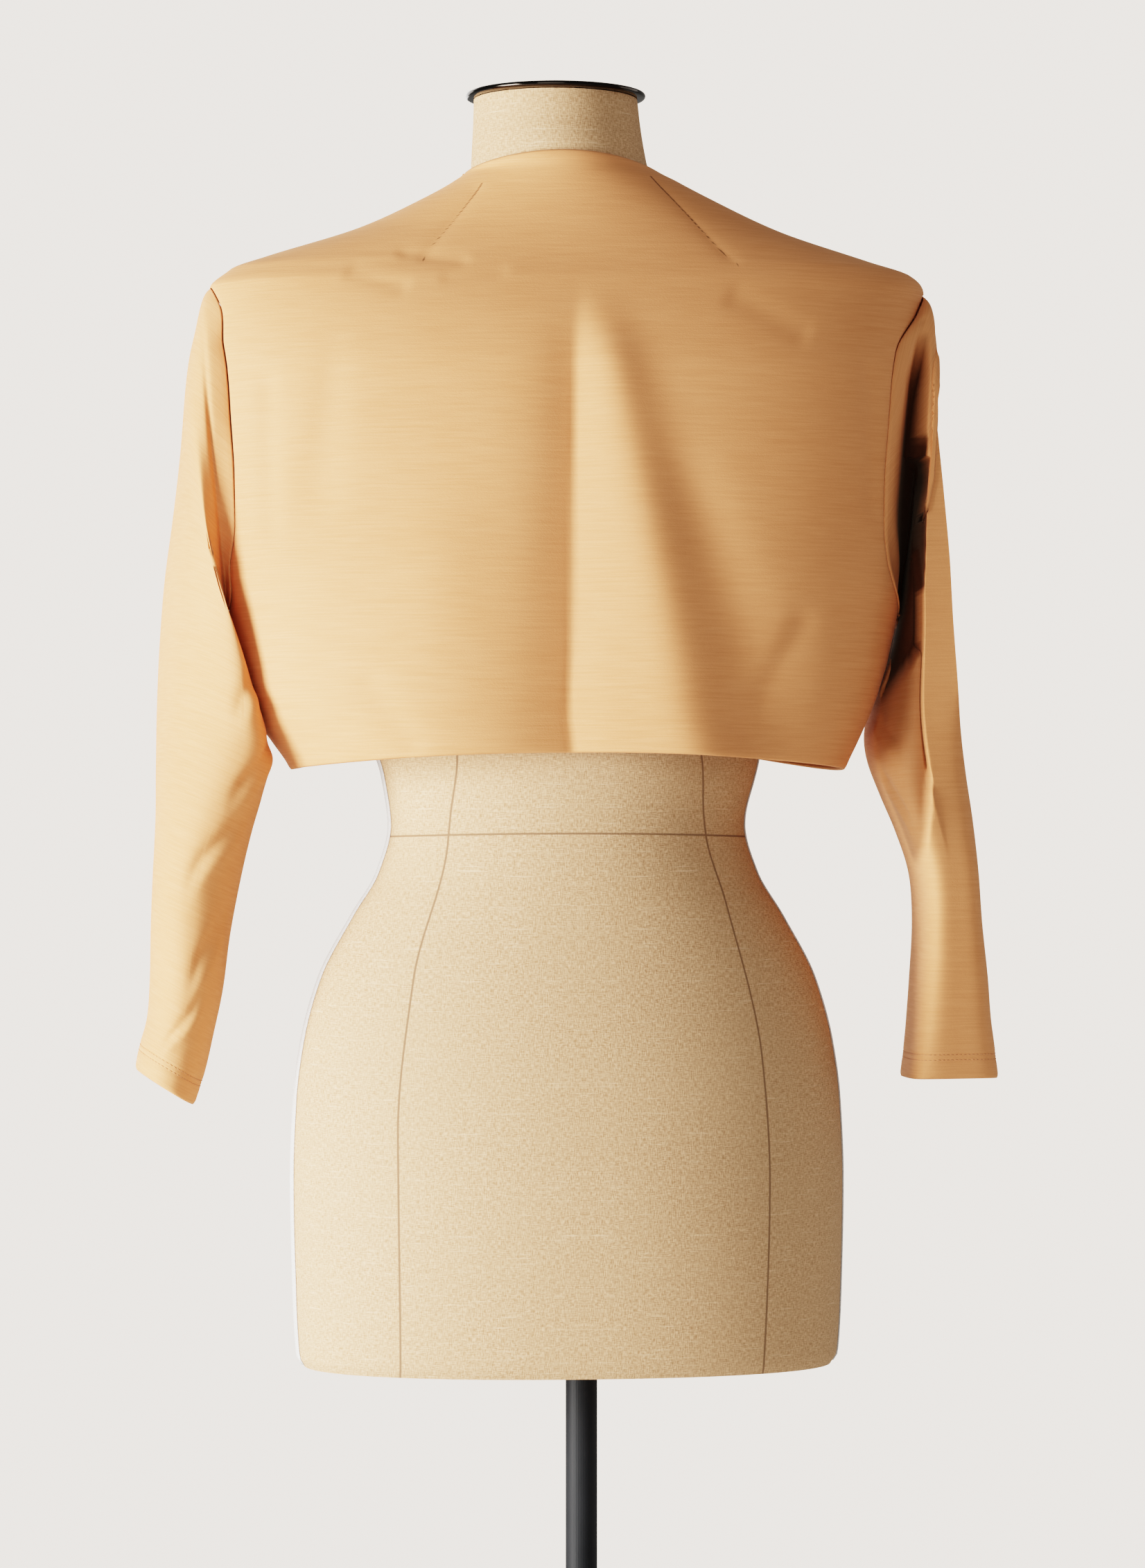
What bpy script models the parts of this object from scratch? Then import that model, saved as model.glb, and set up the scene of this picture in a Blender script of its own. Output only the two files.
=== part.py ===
"""A cropped bolero jacket with long sleeves, worn by a limbless dress form on a pole stand.

Metres, +Z up. The front faces -Y, the wearer's left is +X, and the origin is on the floor on the
pole's axis. Every section is level: it is half_width to each side of the centre line, and reaches
back and front from the line of the side and shoulder seams.
"""

import math
from collections import namedtuple

import bmesh
import bpy
from mathutils import Vector

# Driving dimensions
BODY_WALL = 0.0020
SLEEVE_WALL = 0.0015
SEAM_GAP = 0.0009
TOP_SET_BACK = 0.0036
UNDERARM_EASE = 0.0012
CONTACT_GAP = 0.0003

TORSO_FOOT = 0.700
NECK_TOP = 1.5148
POLE_RADIUS = 0.010
BASE_RADIUS = 0.190
BASE_THICKNESS = 0.010
BASE_ROUNDING = 0.004
CAP_RADIUS = 0.0583
CAP_RIM = 0.0030
CAP_DOME = 0.0022
TAPE_WIDTH = 0.024
TAPE_THICKNESS = 0.0009
TAPE_LIFT = 0.0005
TAPE_TOP = 1.270

HEM_HEIGHT = 1.0800
HEM_RISE_AT_CENTRE = 0.0090
UNDERARM = 1.1800
SHOULDER_POINT = 1.3880
NECK_EDGE = 1.4660
NECK_RISE_AT_CENTRE = 0.0085

# How many faces each piece has
TORSO_SIDES = 32
BACK_COLUMNS = 34
FRONT_COLUMNS = 8
ROWS_BELOW_ARMHOLE = 5
ROWS_ALONG_ARMHOLE = 12
ROWS_ALONG_SHOULDER = 6
SLEEVE_SIDES = 2 * ROWS_ALONG_ARMHOLE
TURNED_STEPS = 40

Section = namedtuple("Section", "height half_width seam_y back front power")

# The dress form, from its flat foot to the top of its neck
TORSO_SECTIONS = [
    Section(0.700, 0.1690, -0.030, 0.101, 0.093, 2.25),
    Section(0.707, 0.1728, -0.030, 0.105, 0.096, 2.25),
    Section(0.750, 0.1752, -0.030, 0.113, 0.098, 2.25),
    Section(0.820, 0.1767, -0.030, 0.118, 0.099, 2.20),
    Section(0.870, 0.1748, -0.030, 0.114, 0.099, 2.20),
    Section(0.907, 0.1700, -0.029, 0.108, 0.100, 2.15),
    Section(0.947, 0.1591, -0.028, 0.099, 0.100, 2.10),
    Section(0.987, 0.1381, -0.026, 0.090, 0.098, 2.10),
    Section(1.015, 0.1215, -0.025, 0.086, 0.095, 2.10),
    Section(1.045, 0.1137, -0.025, 0.084, 0.094, 2.10),
    Section(1.075, 0.1190, -0.025, 0.088, 0.098, 2.10),
    Section(1.120, 0.1320, -0.026, 0.096, 0.108, 2.15),
    Section(1.180, 0.1460, -0.028, 0.104, 0.124, 2.20),
    Section(1.230, 0.1530, -0.030, 0.108, 0.130, 2.20),
    Section(1.280, 0.1590, -0.031, 0.109, 0.119, 2.25),
    Section(1.330, 0.1740, -0.031, 0.104, 0.100, 2.25),
    Section(1.365, 0.1890, -0.032, 0.091, 0.083, 2.20),
    Section(1.388, 0.1960, -0.033, 0.078, 0.070, 2.15),
    Section(1.402, 0.1905, -0.035, 0.0712, 0.0640, 2.10),
    Section(1.414, 0.1605, -0.038, 0.0672, 0.0600, 2.05),
    Section(1.428, 0.1290, -0.041, 0.0634, 0.0574, 2.00),
    Section(1.446, 0.0875, -0.045, 0.0577, 0.0547, 2.00),
    Section(1.458, 0.0655, -0.048, 0.0565, 0.0540, 2.00),
    Section(1.468, 0.0578, -0.050, 0.0566, 0.0546, 2.00),
    Section(1.480, 0.0560, -0.051, 0.0564, 0.0545, 2.00),
    Section(1.500, 0.0540, -0.053, 0.0540, 0.0535, 2.00),
    Section(1.515, 0.0530, -0.054, 0.0530, 0.0530, 2.00),
]

# The jacket's outer face, from below the hem to the neck edge
JACKET_SECTIONS = [
    Section(1.070, 0.1755, -0.030, 0.119, 0.121, 2.30),
    Section(1.081, 0.1785, -0.030, 0.119, 0.123, 2.30),
    Section(1.098, 0.1880, -0.030, 0.120, 0.126, 2.30),
    Section(1.113, 0.1968, -0.030, 0.121, 0.129, 2.30),
    Section(1.130, 0.2035, -0.030, 0.122, 0.132, 2.30),
    Section(1.150, 0.2090, -0.030, 0.123, 0.135, 2.30),
    Section(1.180, 0.2155, -0.030, 0.123, 0.137, 2.30),
    Section(1.200, 0.2200, -0.030, 0.123, 0.137, 2.30),
    Section(1.235, 0.2240, -0.030, 0.121, 0.135, 2.30),
    Section(1.280, 0.2270, -0.030, 0.118, 0.126, 2.30),
    Section(1.330, 0.2300, -0.030, 0.110, 0.108, 2.25),
    Section(1.360, 0.2315, -0.031, 0.099, 0.092, 2.20),
    Section(1.388, 0.2305, -0.033, 0.084, 0.077, 2.15),
    Section(1.400, 0.2170, -0.0355, 0.0775, 0.0710, 2.10),
    Section(1.408, 0.1975, -0.037, 0.0735, 0.0675, 2.05),
    Section(1.428, 0.1373, -0.041, 0.0660, 0.0610, 2.00),
    Section(1.448, 0.0953, -0.0455, 0.0615, 0.0590, 2.00),
    Section(1.460, 0.0735, -0.0485, 0.0600, 0.0590, 2.00),
    Section(1.466, 0.0645, -0.0500, 0.0595, 0.0585, 2.00),
    Section(1.476, 0.0612, -0.0505, 0.0585, 0.0580, 2.00),
]

# The centre line leans to the wearer's left with height
Lean = namedtuple("Lean", "height centre_x")
CENTRE_LINE = [
    Lean(0.700, 0.0060),
    Lean(1.000, 0.0066),
    Lean(1.050, 0.0070),
    Lean(1.080, 0.0058),
    Lean(1.098, 0.0075),
    Lean(1.113, 0.0094),
    Lean(1.130, 0.0096),
    Lean(1.150, 0.0090),
    Lean(1.180, 0.0075),
    Lean(1.250, 0.0095),
    Lean(1.330, 0.0085),
    Lean(1.390, 0.0060),
    Lean(1.410, 0.0040),
    Lean(1.430, 0.0035),
    Lean(1.448, 0.0040),
    Lean(1.460, 0.0052),
    Lean(1.472, 0.0096),
    Lean(1.515, 0.0116),
]

# How far the armhole seam is from the centre line, behind and in front
Armhole = namedtuple("Armhole", "height behind before")
ARMHOLE = [
    Armhole(1.180, 0.2155, 0.2155),
    Armhole(1.186, 0.2135, 0.2100),
    Armhole(1.200, 0.2105, 0.2030),
    Armhole(1.235, 0.2055, 0.1930),
    Armhole(1.265, 0.2060, 0.1905),
    Armhole(1.300, 0.2085, 0.1920),
    Armhole(1.330, 0.2110, 0.1985),
    Armhole(1.350, 0.2145, 0.2060),
    Armhole(1.375, 0.2240, 0.2190),
    Armhole(1.388, 0.2305, 0.2305),
]

# The open front edge, from the rounded hem corner to the neck
FrontEdge = namedtuple("FrontEdge", "share across height")
FRONT_EDGE = [
    FrontEdge(0.00, 0.1300, 1.0900),
    FrontEdge(0.15, 0.1000, 1.1250),
    FrontEdge(0.30, 0.0800, 1.1750),
    FrontEdge(0.50, 0.0620, 1.2600),
    FrontEdge(0.70, 0.0520, 1.3350),
    FrontEdge(0.85, 0.0490, 1.3950),
    FrontEdge(1.00, 0.0480, 1.4480),
]

# Folds of the back: each is a soft ridge (height over zero) or trough along a straight line
Fold = namedtuple("Fold", "top_across top_height foot_across foot_height width height")
BACK_FOLDS = [
    Fold(0.003, 1.385, 0.018, 1.075, 0.026, -0.0100),
    Fold(-0.008, 1.385, -0.076, 1.075, 0.034, 0.0100),
    Fold(-0.055, 1.300, -0.125, 1.075, 0.034, -0.0045),
    Fold(0.085, 1.270, 0.100, 1.075, 0.045, 0.0030),
    Fold(0.150, 1.365, 0.165, 1.200, 0.018, -0.0030),
    Fold(-0.155, 1.200, -0.120, 1.090, 0.025, -0.0030),
]
FRONT_FOLDS = [
    Fold(0.120, 1.300, 0.150, 1.120, 0.024, -0.0050),
    Fold(0.100, 1.360, 0.100, 1.150, 0.022, 0.0035),
]
FOLD_FADE = 0.060

# A sleeve's rings below the armhole: the outer and inner ends, the front and back, and how far
# the back end stands further out than the front end
Ring = namedtuple("Ring", "outer_x outer_z inner_x inner_z back_y front_y twist")
LEFT_RINGS = [
    Ring(0.2392, 1.3830, 0.2246, 1.1775, 0.012, -0.098, 0.000),
    Ring(0.2419, 1.3740, 0.2248, 1.1740, 0.004, -0.092, 0.003),
    Ring(0.2443, 1.3600, 0.2244, 1.1690, 0.006, -0.092, 0.001),
    Ring(0.2475, 1.3430, 0.2236, 1.1630, 0.018, -0.100, -0.002),
    Ring(0.2494, 1.3200, 0.2233, 1.1560, 0.027, -0.107, -0.006),
    Ring(0.2507, 1.2900, 0.2233, 1.1480, 0.032, -0.111, -0.010),
    Ring(0.2523, 1.2540, 0.2217, 1.1390, 0.034, -0.113, -0.013),
    Ring(0.2546, 1.2150, 0.2188, 1.1280, 0.034, -0.113, -0.015),
    Ring(0.2580, 1.1760, 0.2137, 1.1140, 0.033, -0.112, -0.016),
    Ring(0.2617, 1.1400, 0.2060, 1.0990, 0.031, -0.110, -0.016),
    Ring(0.2648, 1.1080, 0.2008, 1.0830, 0.029, -0.108, -0.014),
    Ring(0.2680, 1.0780, 0.2035, 1.0620, 0.026, -0.105, -0.009),
    Ring(0.2697, 1.0480, 0.2092, 1.0380, 0.023, -0.103, -0.004),
    Ring(0.2715, 1.0160, 0.2156, 1.0080, 0.020, -0.101, 0.000),
    Ring(0.2726, 0.9820, 0.2218, 0.9750, 0.016, -0.099, 0.000),
    Ring(0.2731, 0.9480, 0.2264, 0.9400, 0.012, -0.097, 0.000),
    Ring(0.2748, 0.9220, 0.2322, 0.9120, 0.008, -0.096, 0.000),
    Ring(0.2798, 0.9030, 0.2376, 0.8880, 0.004, -0.095, 0.000),
    Ring(0.2824, 0.8890, 0.2445, 0.8660, 0.001, -0.094, 0.000),
]
RIGHT_RINGS = [
    Ring(0.2282, 1.3830, 0.2096, 1.1775, 0.010, -0.098, 0.000),
    Ring(0.2302, 1.3740, 0.2100, 1.1740, 0.000, -0.092, 0.004),
    Ring(0.2308, 1.3600, 0.2096, 1.1690, 0.001, -0.092, 0.007),
    Ring(0.2302, 1.3430, 0.2086, 1.1630, 0.014, -0.098, 0.008),
    Ring(0.2296, 1.3200, 0.2072, 1.1560, 0.025, -0.106, 0.006),
    Ring(0.2312, 1.2900, 0.2048, 1.1480, 0.031, -0.110, 0.004),
    Ring(0.2338, 1.2540, 0.2016, 1.1400, 0.034, -0.112, 0.003),
    Ring(0.2369, 1.2150, 0.1978, 1.1300, 0.034, -0.112, 0.003),
    Ring(0.2398, 1.1760, 0.1943, 1.1160, 0.033, -0.111, 0.003),
    Ring(0.2429, 1.1400, 0.1908, 1.1010, 0.031, -0.109, 0.003),
    Ring(0.2457, 1.1080, 0.1926, 1.0850, 0.029, -0.107, 0.003),
    Ring(0.2505, 1.0780, 0.1998, 1.0640, 0.026, -0.105, 0.002),
    Ring(0.2548, 1.0480, 0.2093, 1.0400, 0.023, -0.103, 0.001),
    Ring(0.2583, 1.0160, 0.2177, 1.0120, 0.020, -0.101, 0.000),
    Ring(0.2619, 0.9820, 0.2201, 0.9790, 0.016, -0.099, 0.000),
    Ring(0.2664, 0.9480, 0.2188, 0.9460, 0.012, -0.098, 0.000),
    Ring(0.2692, 0.9220, 0.2169, 0.9190, 0.008, -0.097, 0.000),
    Ring(0.2722, 0.9040, 0.2149, 0.9000, 0.005, -0.096, 0.000),
    Ring(0.2756, 0.8820, 0.2124, 0.8820, 0.002, -0.095, 0.000),
]
RING_POWER = 2.2

# Cloth pushed in across a sleeve: ring number, turn from the top in degrees, reach and depth
Dent = namedtuple("Dent", "ring turn rings_wide degrees_wide depth")
LEFT_DENTS = [
    Dent(11.0, 60, 1.6, 40, 0.0035),
    Dent(14.5, 95, 1.6, 40, 0.0030),
    Dent(10.5, 215, 1.8, 50, 0.0040),
    Dent(13.5, 290, 1.5, 45, 0.0035),
]
RIGHT_DENTS = [
    Dent(12.0, 300, 1.6, 45, 0.0035),
    Dent(14.0, 240, 1.5, 45, 0.0035),
    Dent(10.0, 120, 1.5, 35, 0.0030),
]

Finish = namedtuple("Finish", "name colour roughness metallic")
CLOTH = Finish("camel_cloth", (0.72, 0.50, 0.29), 0.80, 0.0)
LINEN = Finish("beige_linen", (0.68, 0.56, 0.41), 0.85, 0.0)
TAPE = Finish("pale_grey_tape", (0.62, 0.61, 0.59), 0.75, 0.0)
CHROME = Finish("polished_chrome", (0.80, 0.80, 0.80), 0.12, 1.0)
BLACK_PAINT = Finish("black_paint", (0.035, 0.037, 0.042), 0.40, 0.0)


def steady_curve(stations, values):
    """A smooth curve through the values that never swings past them."""
    steps = [b - a for a, b in zip(stations, stations[1:])]
    slopes = [(b - a) / step for a, b, step in zip(values, values[1:], steps)]
    tangents = [slopes[0]]
    for before, after in zip(slopes, slopes[1:]):
        same_way = before * after > 0
        tangents.append(2 * before * after / (before + after) if same_way else 0.0)
    tangents.append(slopes[-1])

    def value_at(station):
        station = min(max(station, stations[0]), stations[-1])
        i = max(k for k in range(len(steps)) if stations[k] <= station)
        t = (station - stations[i]) / steps[i]
        rise = values[i + 1] - values[i]
        start = tangents[i] * steps[i] - rise
        end = rise - tangents[i + 1] * steps[i]
        return values[i] + t * rise + t * (1 - t) * ((1 - t) * start + t * end)

    return value_at


def curves_of(table, station_name="height"):
    """One curve for each column of a table, by the column's name."""
    stations = [getattr(row, station_name) for row in table]
    return {
        name: steady_curve(stations, [getattr(row, name) for row in table])
        for name in table[0]._fields
    }


TORSO = curves_of(TORSO_SECTIONS)
JACKET = curves_of(JACKET_SECTIONS)
LEAN = curves_of(CENTRE_LINE)
ARM = curves_of(ARMHOLE)
EDGE = curves_of(FRONT_EDGE, "share")


def depth_at(body, across, height, facing):
    """How far a section reaches behind (facing 1) or before (facing -1) the seam line."""
    share = min(abs(across) / body["half_width"](height), 1.0)
    power = body["power"](height)
    reach = body["back" if facing > 0 else "front"](height)
    return reach * (1 - share**power) ** (1 / power)


def body_point(body, across, height, facing):
    """The point of a section that lies this far to the wearer's left of the centre line."""
    y = body["seam_y"](height) + facing * depth_at(body, across, height, facing)
    return Vector((LEAN["centre_x"](height) + across, y, height))


def smooth_step(t):
    t = min(max(t, 0.0), 1.0)
    return t * t * (3 - 2 * t)


def fold_height(folds, across, height):
    """How far the folds lift the cloth here. Each fades in below its top and runs out at its foot."""
    total = 0.0
    for fold in folds:
        down = (fold.top_height - height) / (fold.top_height - fold.foot_height)
        middle = fold.top_across + (fold.foot_across - fold.top_across) * down
        fade = smooth_step((fold.top_height - height) / FOLD_FADE)
        if fold.foot_height > HEM_HEIGHT:
            fade *= smooth_step((height - fold.foot_height) / FOLD_FADE)
        grown = 0.45 + 0.55 * min(max(down, 0.0), 1.0)
        width = fold.width * grown
        total += fold.height * grown * fade * math.exp(-(((across - middle) / width) ** 2))
    return total


def new_material(finish):
    material = bpy.data.materials.new(finish.name)
    material.use_nodes = True
    shader = material.node_tree.nodes["Principled BSDF"]
    shader.inputs["Base Color"].default_value = (*finish.colour, 1.0)
    shader.inputs["Roughness"].default_value = finish.roughness
    shader.inputs["Metallic"].default_value = finish.metallic
    return material


def new_piece(name, mesh, finish):
    """An object of this mesh in the part's collection, shaded smooth."""
    mesh.shade_smooth()
    mesh.set_sharp_from_angle(angle=math.radians(35))
    piece = bpy.data.objects.new(name, mesh)
    material = bpy.data.materials.get(finish.name) or new_material(finish)
    mesh.materials.append(material)
    collection.objects.link(piece)
    return piece


def sheet_mesh(name, rows, closed=False, flip=False):
    """A mesh of quads over rows of points. A closed one joins the last column to the first."""
    cage = bmesh.new()
    grid = [[cage.verts.new(point) for point in row] for row in rows]
    columns = len(grid[0])
    for low, high in zip(grid, grid[1:]):
        for i in range(columns if closed else columns - 1):
            k = (i + 1) % columns
            corners = [low[i], low[k], high[k], high[i]]
            cage.faces.new(corners[::-1] if flip else corners)
    mesh = bpy.data.meshes.new(name)
    cage.to_mesh(mesh)
    cage.free()
    return mesh


def add_wall(piece, thickness):
    """The cloth's thickness, laid on the inner side of the sheet."""
    wall = piece.modifiers.new("cloth wall", "SOLIDIFY")
    wall.thickness = thickness
    wall.offset = -1.0


def loft_solid(name, rings, finish):
    """A closed solid through level rings, with flat ends."""
    cage = bmesh.new()
    grid = [[cage.verts.new(point) for point in ring] for ring in rings]
    for low, high in zip(grid, grid[1:]):
        for i in range(len(low)):
            k = (i + 1) % len(low)
            cage.faces.new([low[i], low[k], high[k], high[i]])
    cage.faces.new(grid[0][::-1])
    cage.faces.new(grid[-1])
    mesh = bpy.data.meshes.new(name)
    cage.to_mesh(mesh)
    cage.free()
    return new_piece(name, mesh, finish)


def turned_solid(name, profile, finish, centre):
    """A solid of revolution from (radius, height) pairs that run from the top down to the foot."""
    mesh = bpy.data.meshes.new(name)
    points = [(radius, 0.0, height) for radius, height in profile]
    mesh.from_pydata(points, [(i, i + 1) for i in range(len(points) - 1)], [])
    piece = new_piece(name, mesh, finish)
    turn = piece.modifiers.new("turn", "SCREW")
    turn.steps = turn.render_steps = TURNED_STEPS
    turn.use_merge_vertices = True
    turn.merge_threshold = 0.0001
    turn.use_smooth_shade = True
    piece.location = centre
    return piece


def torso_heights():
    """Heights of the torso's rings, closer together where the shoulders turn in to the neck."""
    shoulder = TORSO["height"](1.380)
    below = [TORSO_FOOT + (shoulder - TORSO_FOOT) * i / 19 for i in range(20)]
    above = [1.390, 1.397, 1.404, 1.412, 1.422, 1.434, 1.446, 1.456, 1.466, 1.480, NECK_TOP]
    return below + above


def torso_ring(height, sides=TORSO_SIDES):
    ring = []
    for i in range(sides):
        turn = math.tau * i / sides
        across = TORSO["half_width"](height) * math.sin(turn)
        facing = -1 if math.cos(turn) > 0 else 1
        ring.append(body_point(TORSO, across, height, facing))
    return ring


def make_form_torso():
    loft_solid("form_torso", [torso_ring(height) for height in torso_heights()], LINEN)


def tape_point(side, height, turn, lift):
    """A point on the torso's side, turned back from the seam line and lifted off the linen."""
    across = side * TORSO["half_width"](height) * math.cos(turn)
    facing = 1 if turn > 0 else -1
    point = body_point(TORSO, across, height, facing)
    return point + Vector((side * math.cos(turn), 0.6 * math.sin(turn), 0.0)) * lift


def make_form_tapes():
    """A pale tape down each side of the form, over the side seam."""
    half_turn = 0.5 * TAPE_WIDTH / 0.110
    heights = [h for h in torso_heights() if h < TAPE_TOP]
    for side, label in ((1, "left"), (-1, "right")):
        rings = []
        for height in heights:
            inner = [tape_point(side, height, half_turn * s, TAPE_LIFT) for s in (-1, 0, 1)]
            face = TAPE_LIFT + TAPE_THICKNESS
            outer = [tape_point(side, height, half_turn * s, face) for s in (1, 0, -1)]
            ring = inner + outer
            rings.append(ring if side > 0 else ring[::-1])
        loft_solid(f"form_tape_{label}", [ring[::-1] for ring in rings], TAPE)


def make_form_neck_cap():
    foot = NECK_TOP + CONTACT_GAP
    rim = foot + CAP_RIM
    profile = [
        (0.0, rim + CAP_DOME),
        (0.5 * CAP_RADIUS, rim + 0.75 * CAP_DOME),
        (CAP_RADIUS - 0.0015, rim),
        (CAP_RADIUS, rim - 0.0008),
        (CAP_RADIUS, foot + 0.0008),
        (CAP_RADIUS - 0.0008, foot),
        (0.0, foot),
    ]
    centre = (LEAN["centre_x"](NECK_TOP), TORSO["seam_y"](NECK_TOP), 0.0)
    turned_solid("form_neck_cap", profile, CHROME, centre)


def make_stand():
    top = BASE_THICKNESS
    corner = [
        (
            BASE_RADIUS - BASE_ROUNDING * (1 - math.cos(math.radians(turn))),
            top - BASE_ROUNDING * (1 - math.sin(math.radians(turn))),
        )
        for turn in (90, 60, 30, 0)
    ]
    foot = [(BASE_RADIUS, 0.001), (BASE_RADIUS - 0.001, 0.0), (0.0, 0.0)]
    turned_solid("stand_base", [(0.0, top)] + corner + foot, BLACK_PAINT, (0.0, 0.0, 0.0))

    low = BASE_THICKNESS + CONTACT_GAP
    high = TORSO_FOOT - CONTACT_GAP
    bpy.ops.mesh.primitive_cylinder_add(
        vertices=TURNED_STEPS,
        radius=POLE_RADIUS,
        depth=high - low,
        location=(0.0, 0.0, 0.5 * (low + high)),
    )
    pole = bpy.context.object
    mesh = pole.data
    location = pole.location.copy()
    bpy.data.objects.remove(pole)
    new_piece("stand_pole", mesh, BLACK_PAINT).location = location


def armhole_height(turn):
    """The armhole's height by the turn from its top, 0 at the shoulder and pi at the underarm."""
    middle = 0.5 * (SHOULDER_POINT + UNDERARM)
    return middle + 0.5 * (SHOULDER_POINT - UNDERARM) * math.cos(turn)


def armhole_across(height, facing):
    return ARM["behind" if facing > 0 else "before"](height)


def panel_rows(facing):
    """(height, half width) of a body panel's side edge, from the hem up to the neck."""
    rows = []
    for i in range(ROWS_BELOW_ARMHOLE):
        height = HEM_HEIGHT + (UNDERARM - HEM_HEIGHT) * i / ROWS_BELOW_ARMHOLE
        rows.append((height, JACKET["half_width"](height)))
    for i in range(ROWS_ALONG_ARMHOLE):
        height = armhole_height(math.pi * (1 - i / ROWS_ALONG_ARMHOLE))
        rows.append((height, armhole_across(height, facing)))
    for i in range(ROWS_ALONG_SHOULDER + 1):
        share = i / ROWS_ALONG_SHOULDER
        height = SHOULDER_POINT + (NECK_EDGE - SHOULDER_POINT) * share
        rows.append((height, JACKET["half_width"](height)))
    return rows


def back_point(across, height):
    point = body_point(JACKET, across, height, 1)
    point.y += fold_height(BACK_FOLDS, across, height)
    return point


def row_rise(height):
    """How much higher a back row is at its middle than at its ends."""
    share = (height - HEM_HEIGHT) / (NECK_EDGE - HEM_HEIGHT)
    return HEM_RISE_AT_CENTRE + (NECK_RISE_AT_CENTRE - HEM_RISE_AT_CENTRE) * share


def make_jacket_back():
    rows = []
    for height, half in panel_rows(1):
        row = []
        for i in range(BACK_COLUMNS + 1):
            turn = math.pi * (i / BACK_COLUMNS - 0.5)
            across = half * math.sin(turn)
            level = height + row_rise(height) * math.cos(turn) ** 2
            point = back_point(across, level)
            point.y += SEAM_GAP / 2
            row.append(point)
        rows.append(row)
    add_wall(new_piece("jacket_back", sheet_mesh("jacket_back", rows, flip=True), CLOTH), BODY_WALL)


def front_point(side, across, height):
    point = body_point(JACKET, side * across, height, -1)
    point.y -= fold_height(FRONT_FOLDS, across, height)
    return point


def make_jacket_front(side, label):
    edge_rows = panel_rows(-1)
    rows = []
    for number, (height, half) in enumerate(edge_rows):
        share = number / (len(edge_rows) - 1)
        row = []
        for i in range(FRONT_COLUMNS + 1):
            t = math.sin(0.5 * math.pi * (1 - i / FRONT_COLUMNS))
            across = EDGE["across"](share) + (half - EDGE["across"](share)) * t
            level = EDGE["height"](share) + (height - EDGE["height"](share)) * t
            point = front_point(side, across, level)
            point.y -= SEAM_GAP / 2
            row.append(point)
        rows.append(row)
    name = f"jacket_front_{label}"
    mesh = sheet_mesh(name, rows, flip=side > 0)
    add_wall(new_piece(name, mesh, CLOTH), BODY_WALL)


def armhole_ring(side, next_ring):
    """The sleeve's first ring: the armhole's edge, set back a little towards the sleeve."""
    ring = []
    for i, beyond in enumerate(next_ring):
        turn = math.tau * i / SLEEVE_SIDES
        facing = 1 if math.sin(turn) >= 0 else -1
        height = armhole_height(turn)
        across = armhole_across(height, facing)
        point = body_point(JACKET, side * across, height, facing)
        set_back = SEAM_GAP / 2 + TOP_SET_BACK * max(math.cos(turn), 0.0) ** 4
        point += (beyond - point).normalized() * set_back
        point.x += side * UNDERARM_EASE * max(-math.cos(turn), 0.0) ** 4
        ring.append(point)
    return ring


def rounded(value):
    """A sine or cosine made squarer, so that a ring is fuller at its corners."""
    return math.copysign(abs(value) ** (2 / RING_POWER), value)


def dent_depth(dents, number, degrees):
    total = 0.0
    for dent in dents:
        along = (number - dent.ring) / dent.rings_wide
        around = ((degrees - dent.turn + 180) % 360 - 180) / dent.degrees_wide
        total += dent.depth * math.exp(-(along**2) - around**2)
    return total


def sleeve_ring(side, number, row, dents):
    """One ring below the armhole: turn 0 is its outer end, and a quarter turn is the back."""
    outer = Vector((side * row.outer_x, 0.0, row.outer_z))
    inner = Vector((side * row.inner_x, 0.0, row.inner_z))
    middle = 0.5 * (outer + inner) + Vector((0.0, 0.5 * (row.back_y + row.front_y), 0.0))
    outward = 0.5 * (outer - inner)
    half_depth = 0.5 * (row.back_y - row.front_y)
    ring = []
    for i in range(SLEEVE_SIDES):
        turn = math.tau * i / SLEEVE_SIDES
        shrink = 1 - dent_depth(dents, number, math.degrees(turn)) / outward.length
        backward = rounded(math.sin(turn))
        ring.append(
            middle
            + outward * rounded(math.cos(turn)) * shrink
            + Vector((side * row.twist * backward, half_depth * backward, 0.0))
        )
    return ring


def make_sleeve(side, label, rows, dents):
    rings = [sleeve_ring(side, number, row, dents) for number, row in enumerate(rows, 1)]
    rings.insert(0, armhole_ring(side, rings[0]))
    name = f"sleeve_{label}"
    mesh = sheet_mesh(name, rings, closed=True, flip=side > 0)
    add_wall(new_piece(name, mesh, CLOTH), SLEEVE_WALL)


for leftover in list(bpy.data.objects):
    bpy.data.objects.remove(leftover)
collection = bpy.data.collections.new("bolero_jacket_on_dress_form")
bpy.context.scene.collection.children.link(collection)

make_stand()
make_form_torso()
make_form_tapes()
make_form_neck_cap()
make_jacket_back()
make_jacket_front(1, "left")
make_jacket_front(-1, "right")
make_sleeve(1, "left", LEFT_RINGS, LEFT_DENTS)
make_sleeve(-1, "right", RIGHT_RINGS, RIGHT_DENTS)
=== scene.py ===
import math
from collections import namedtuple

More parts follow.
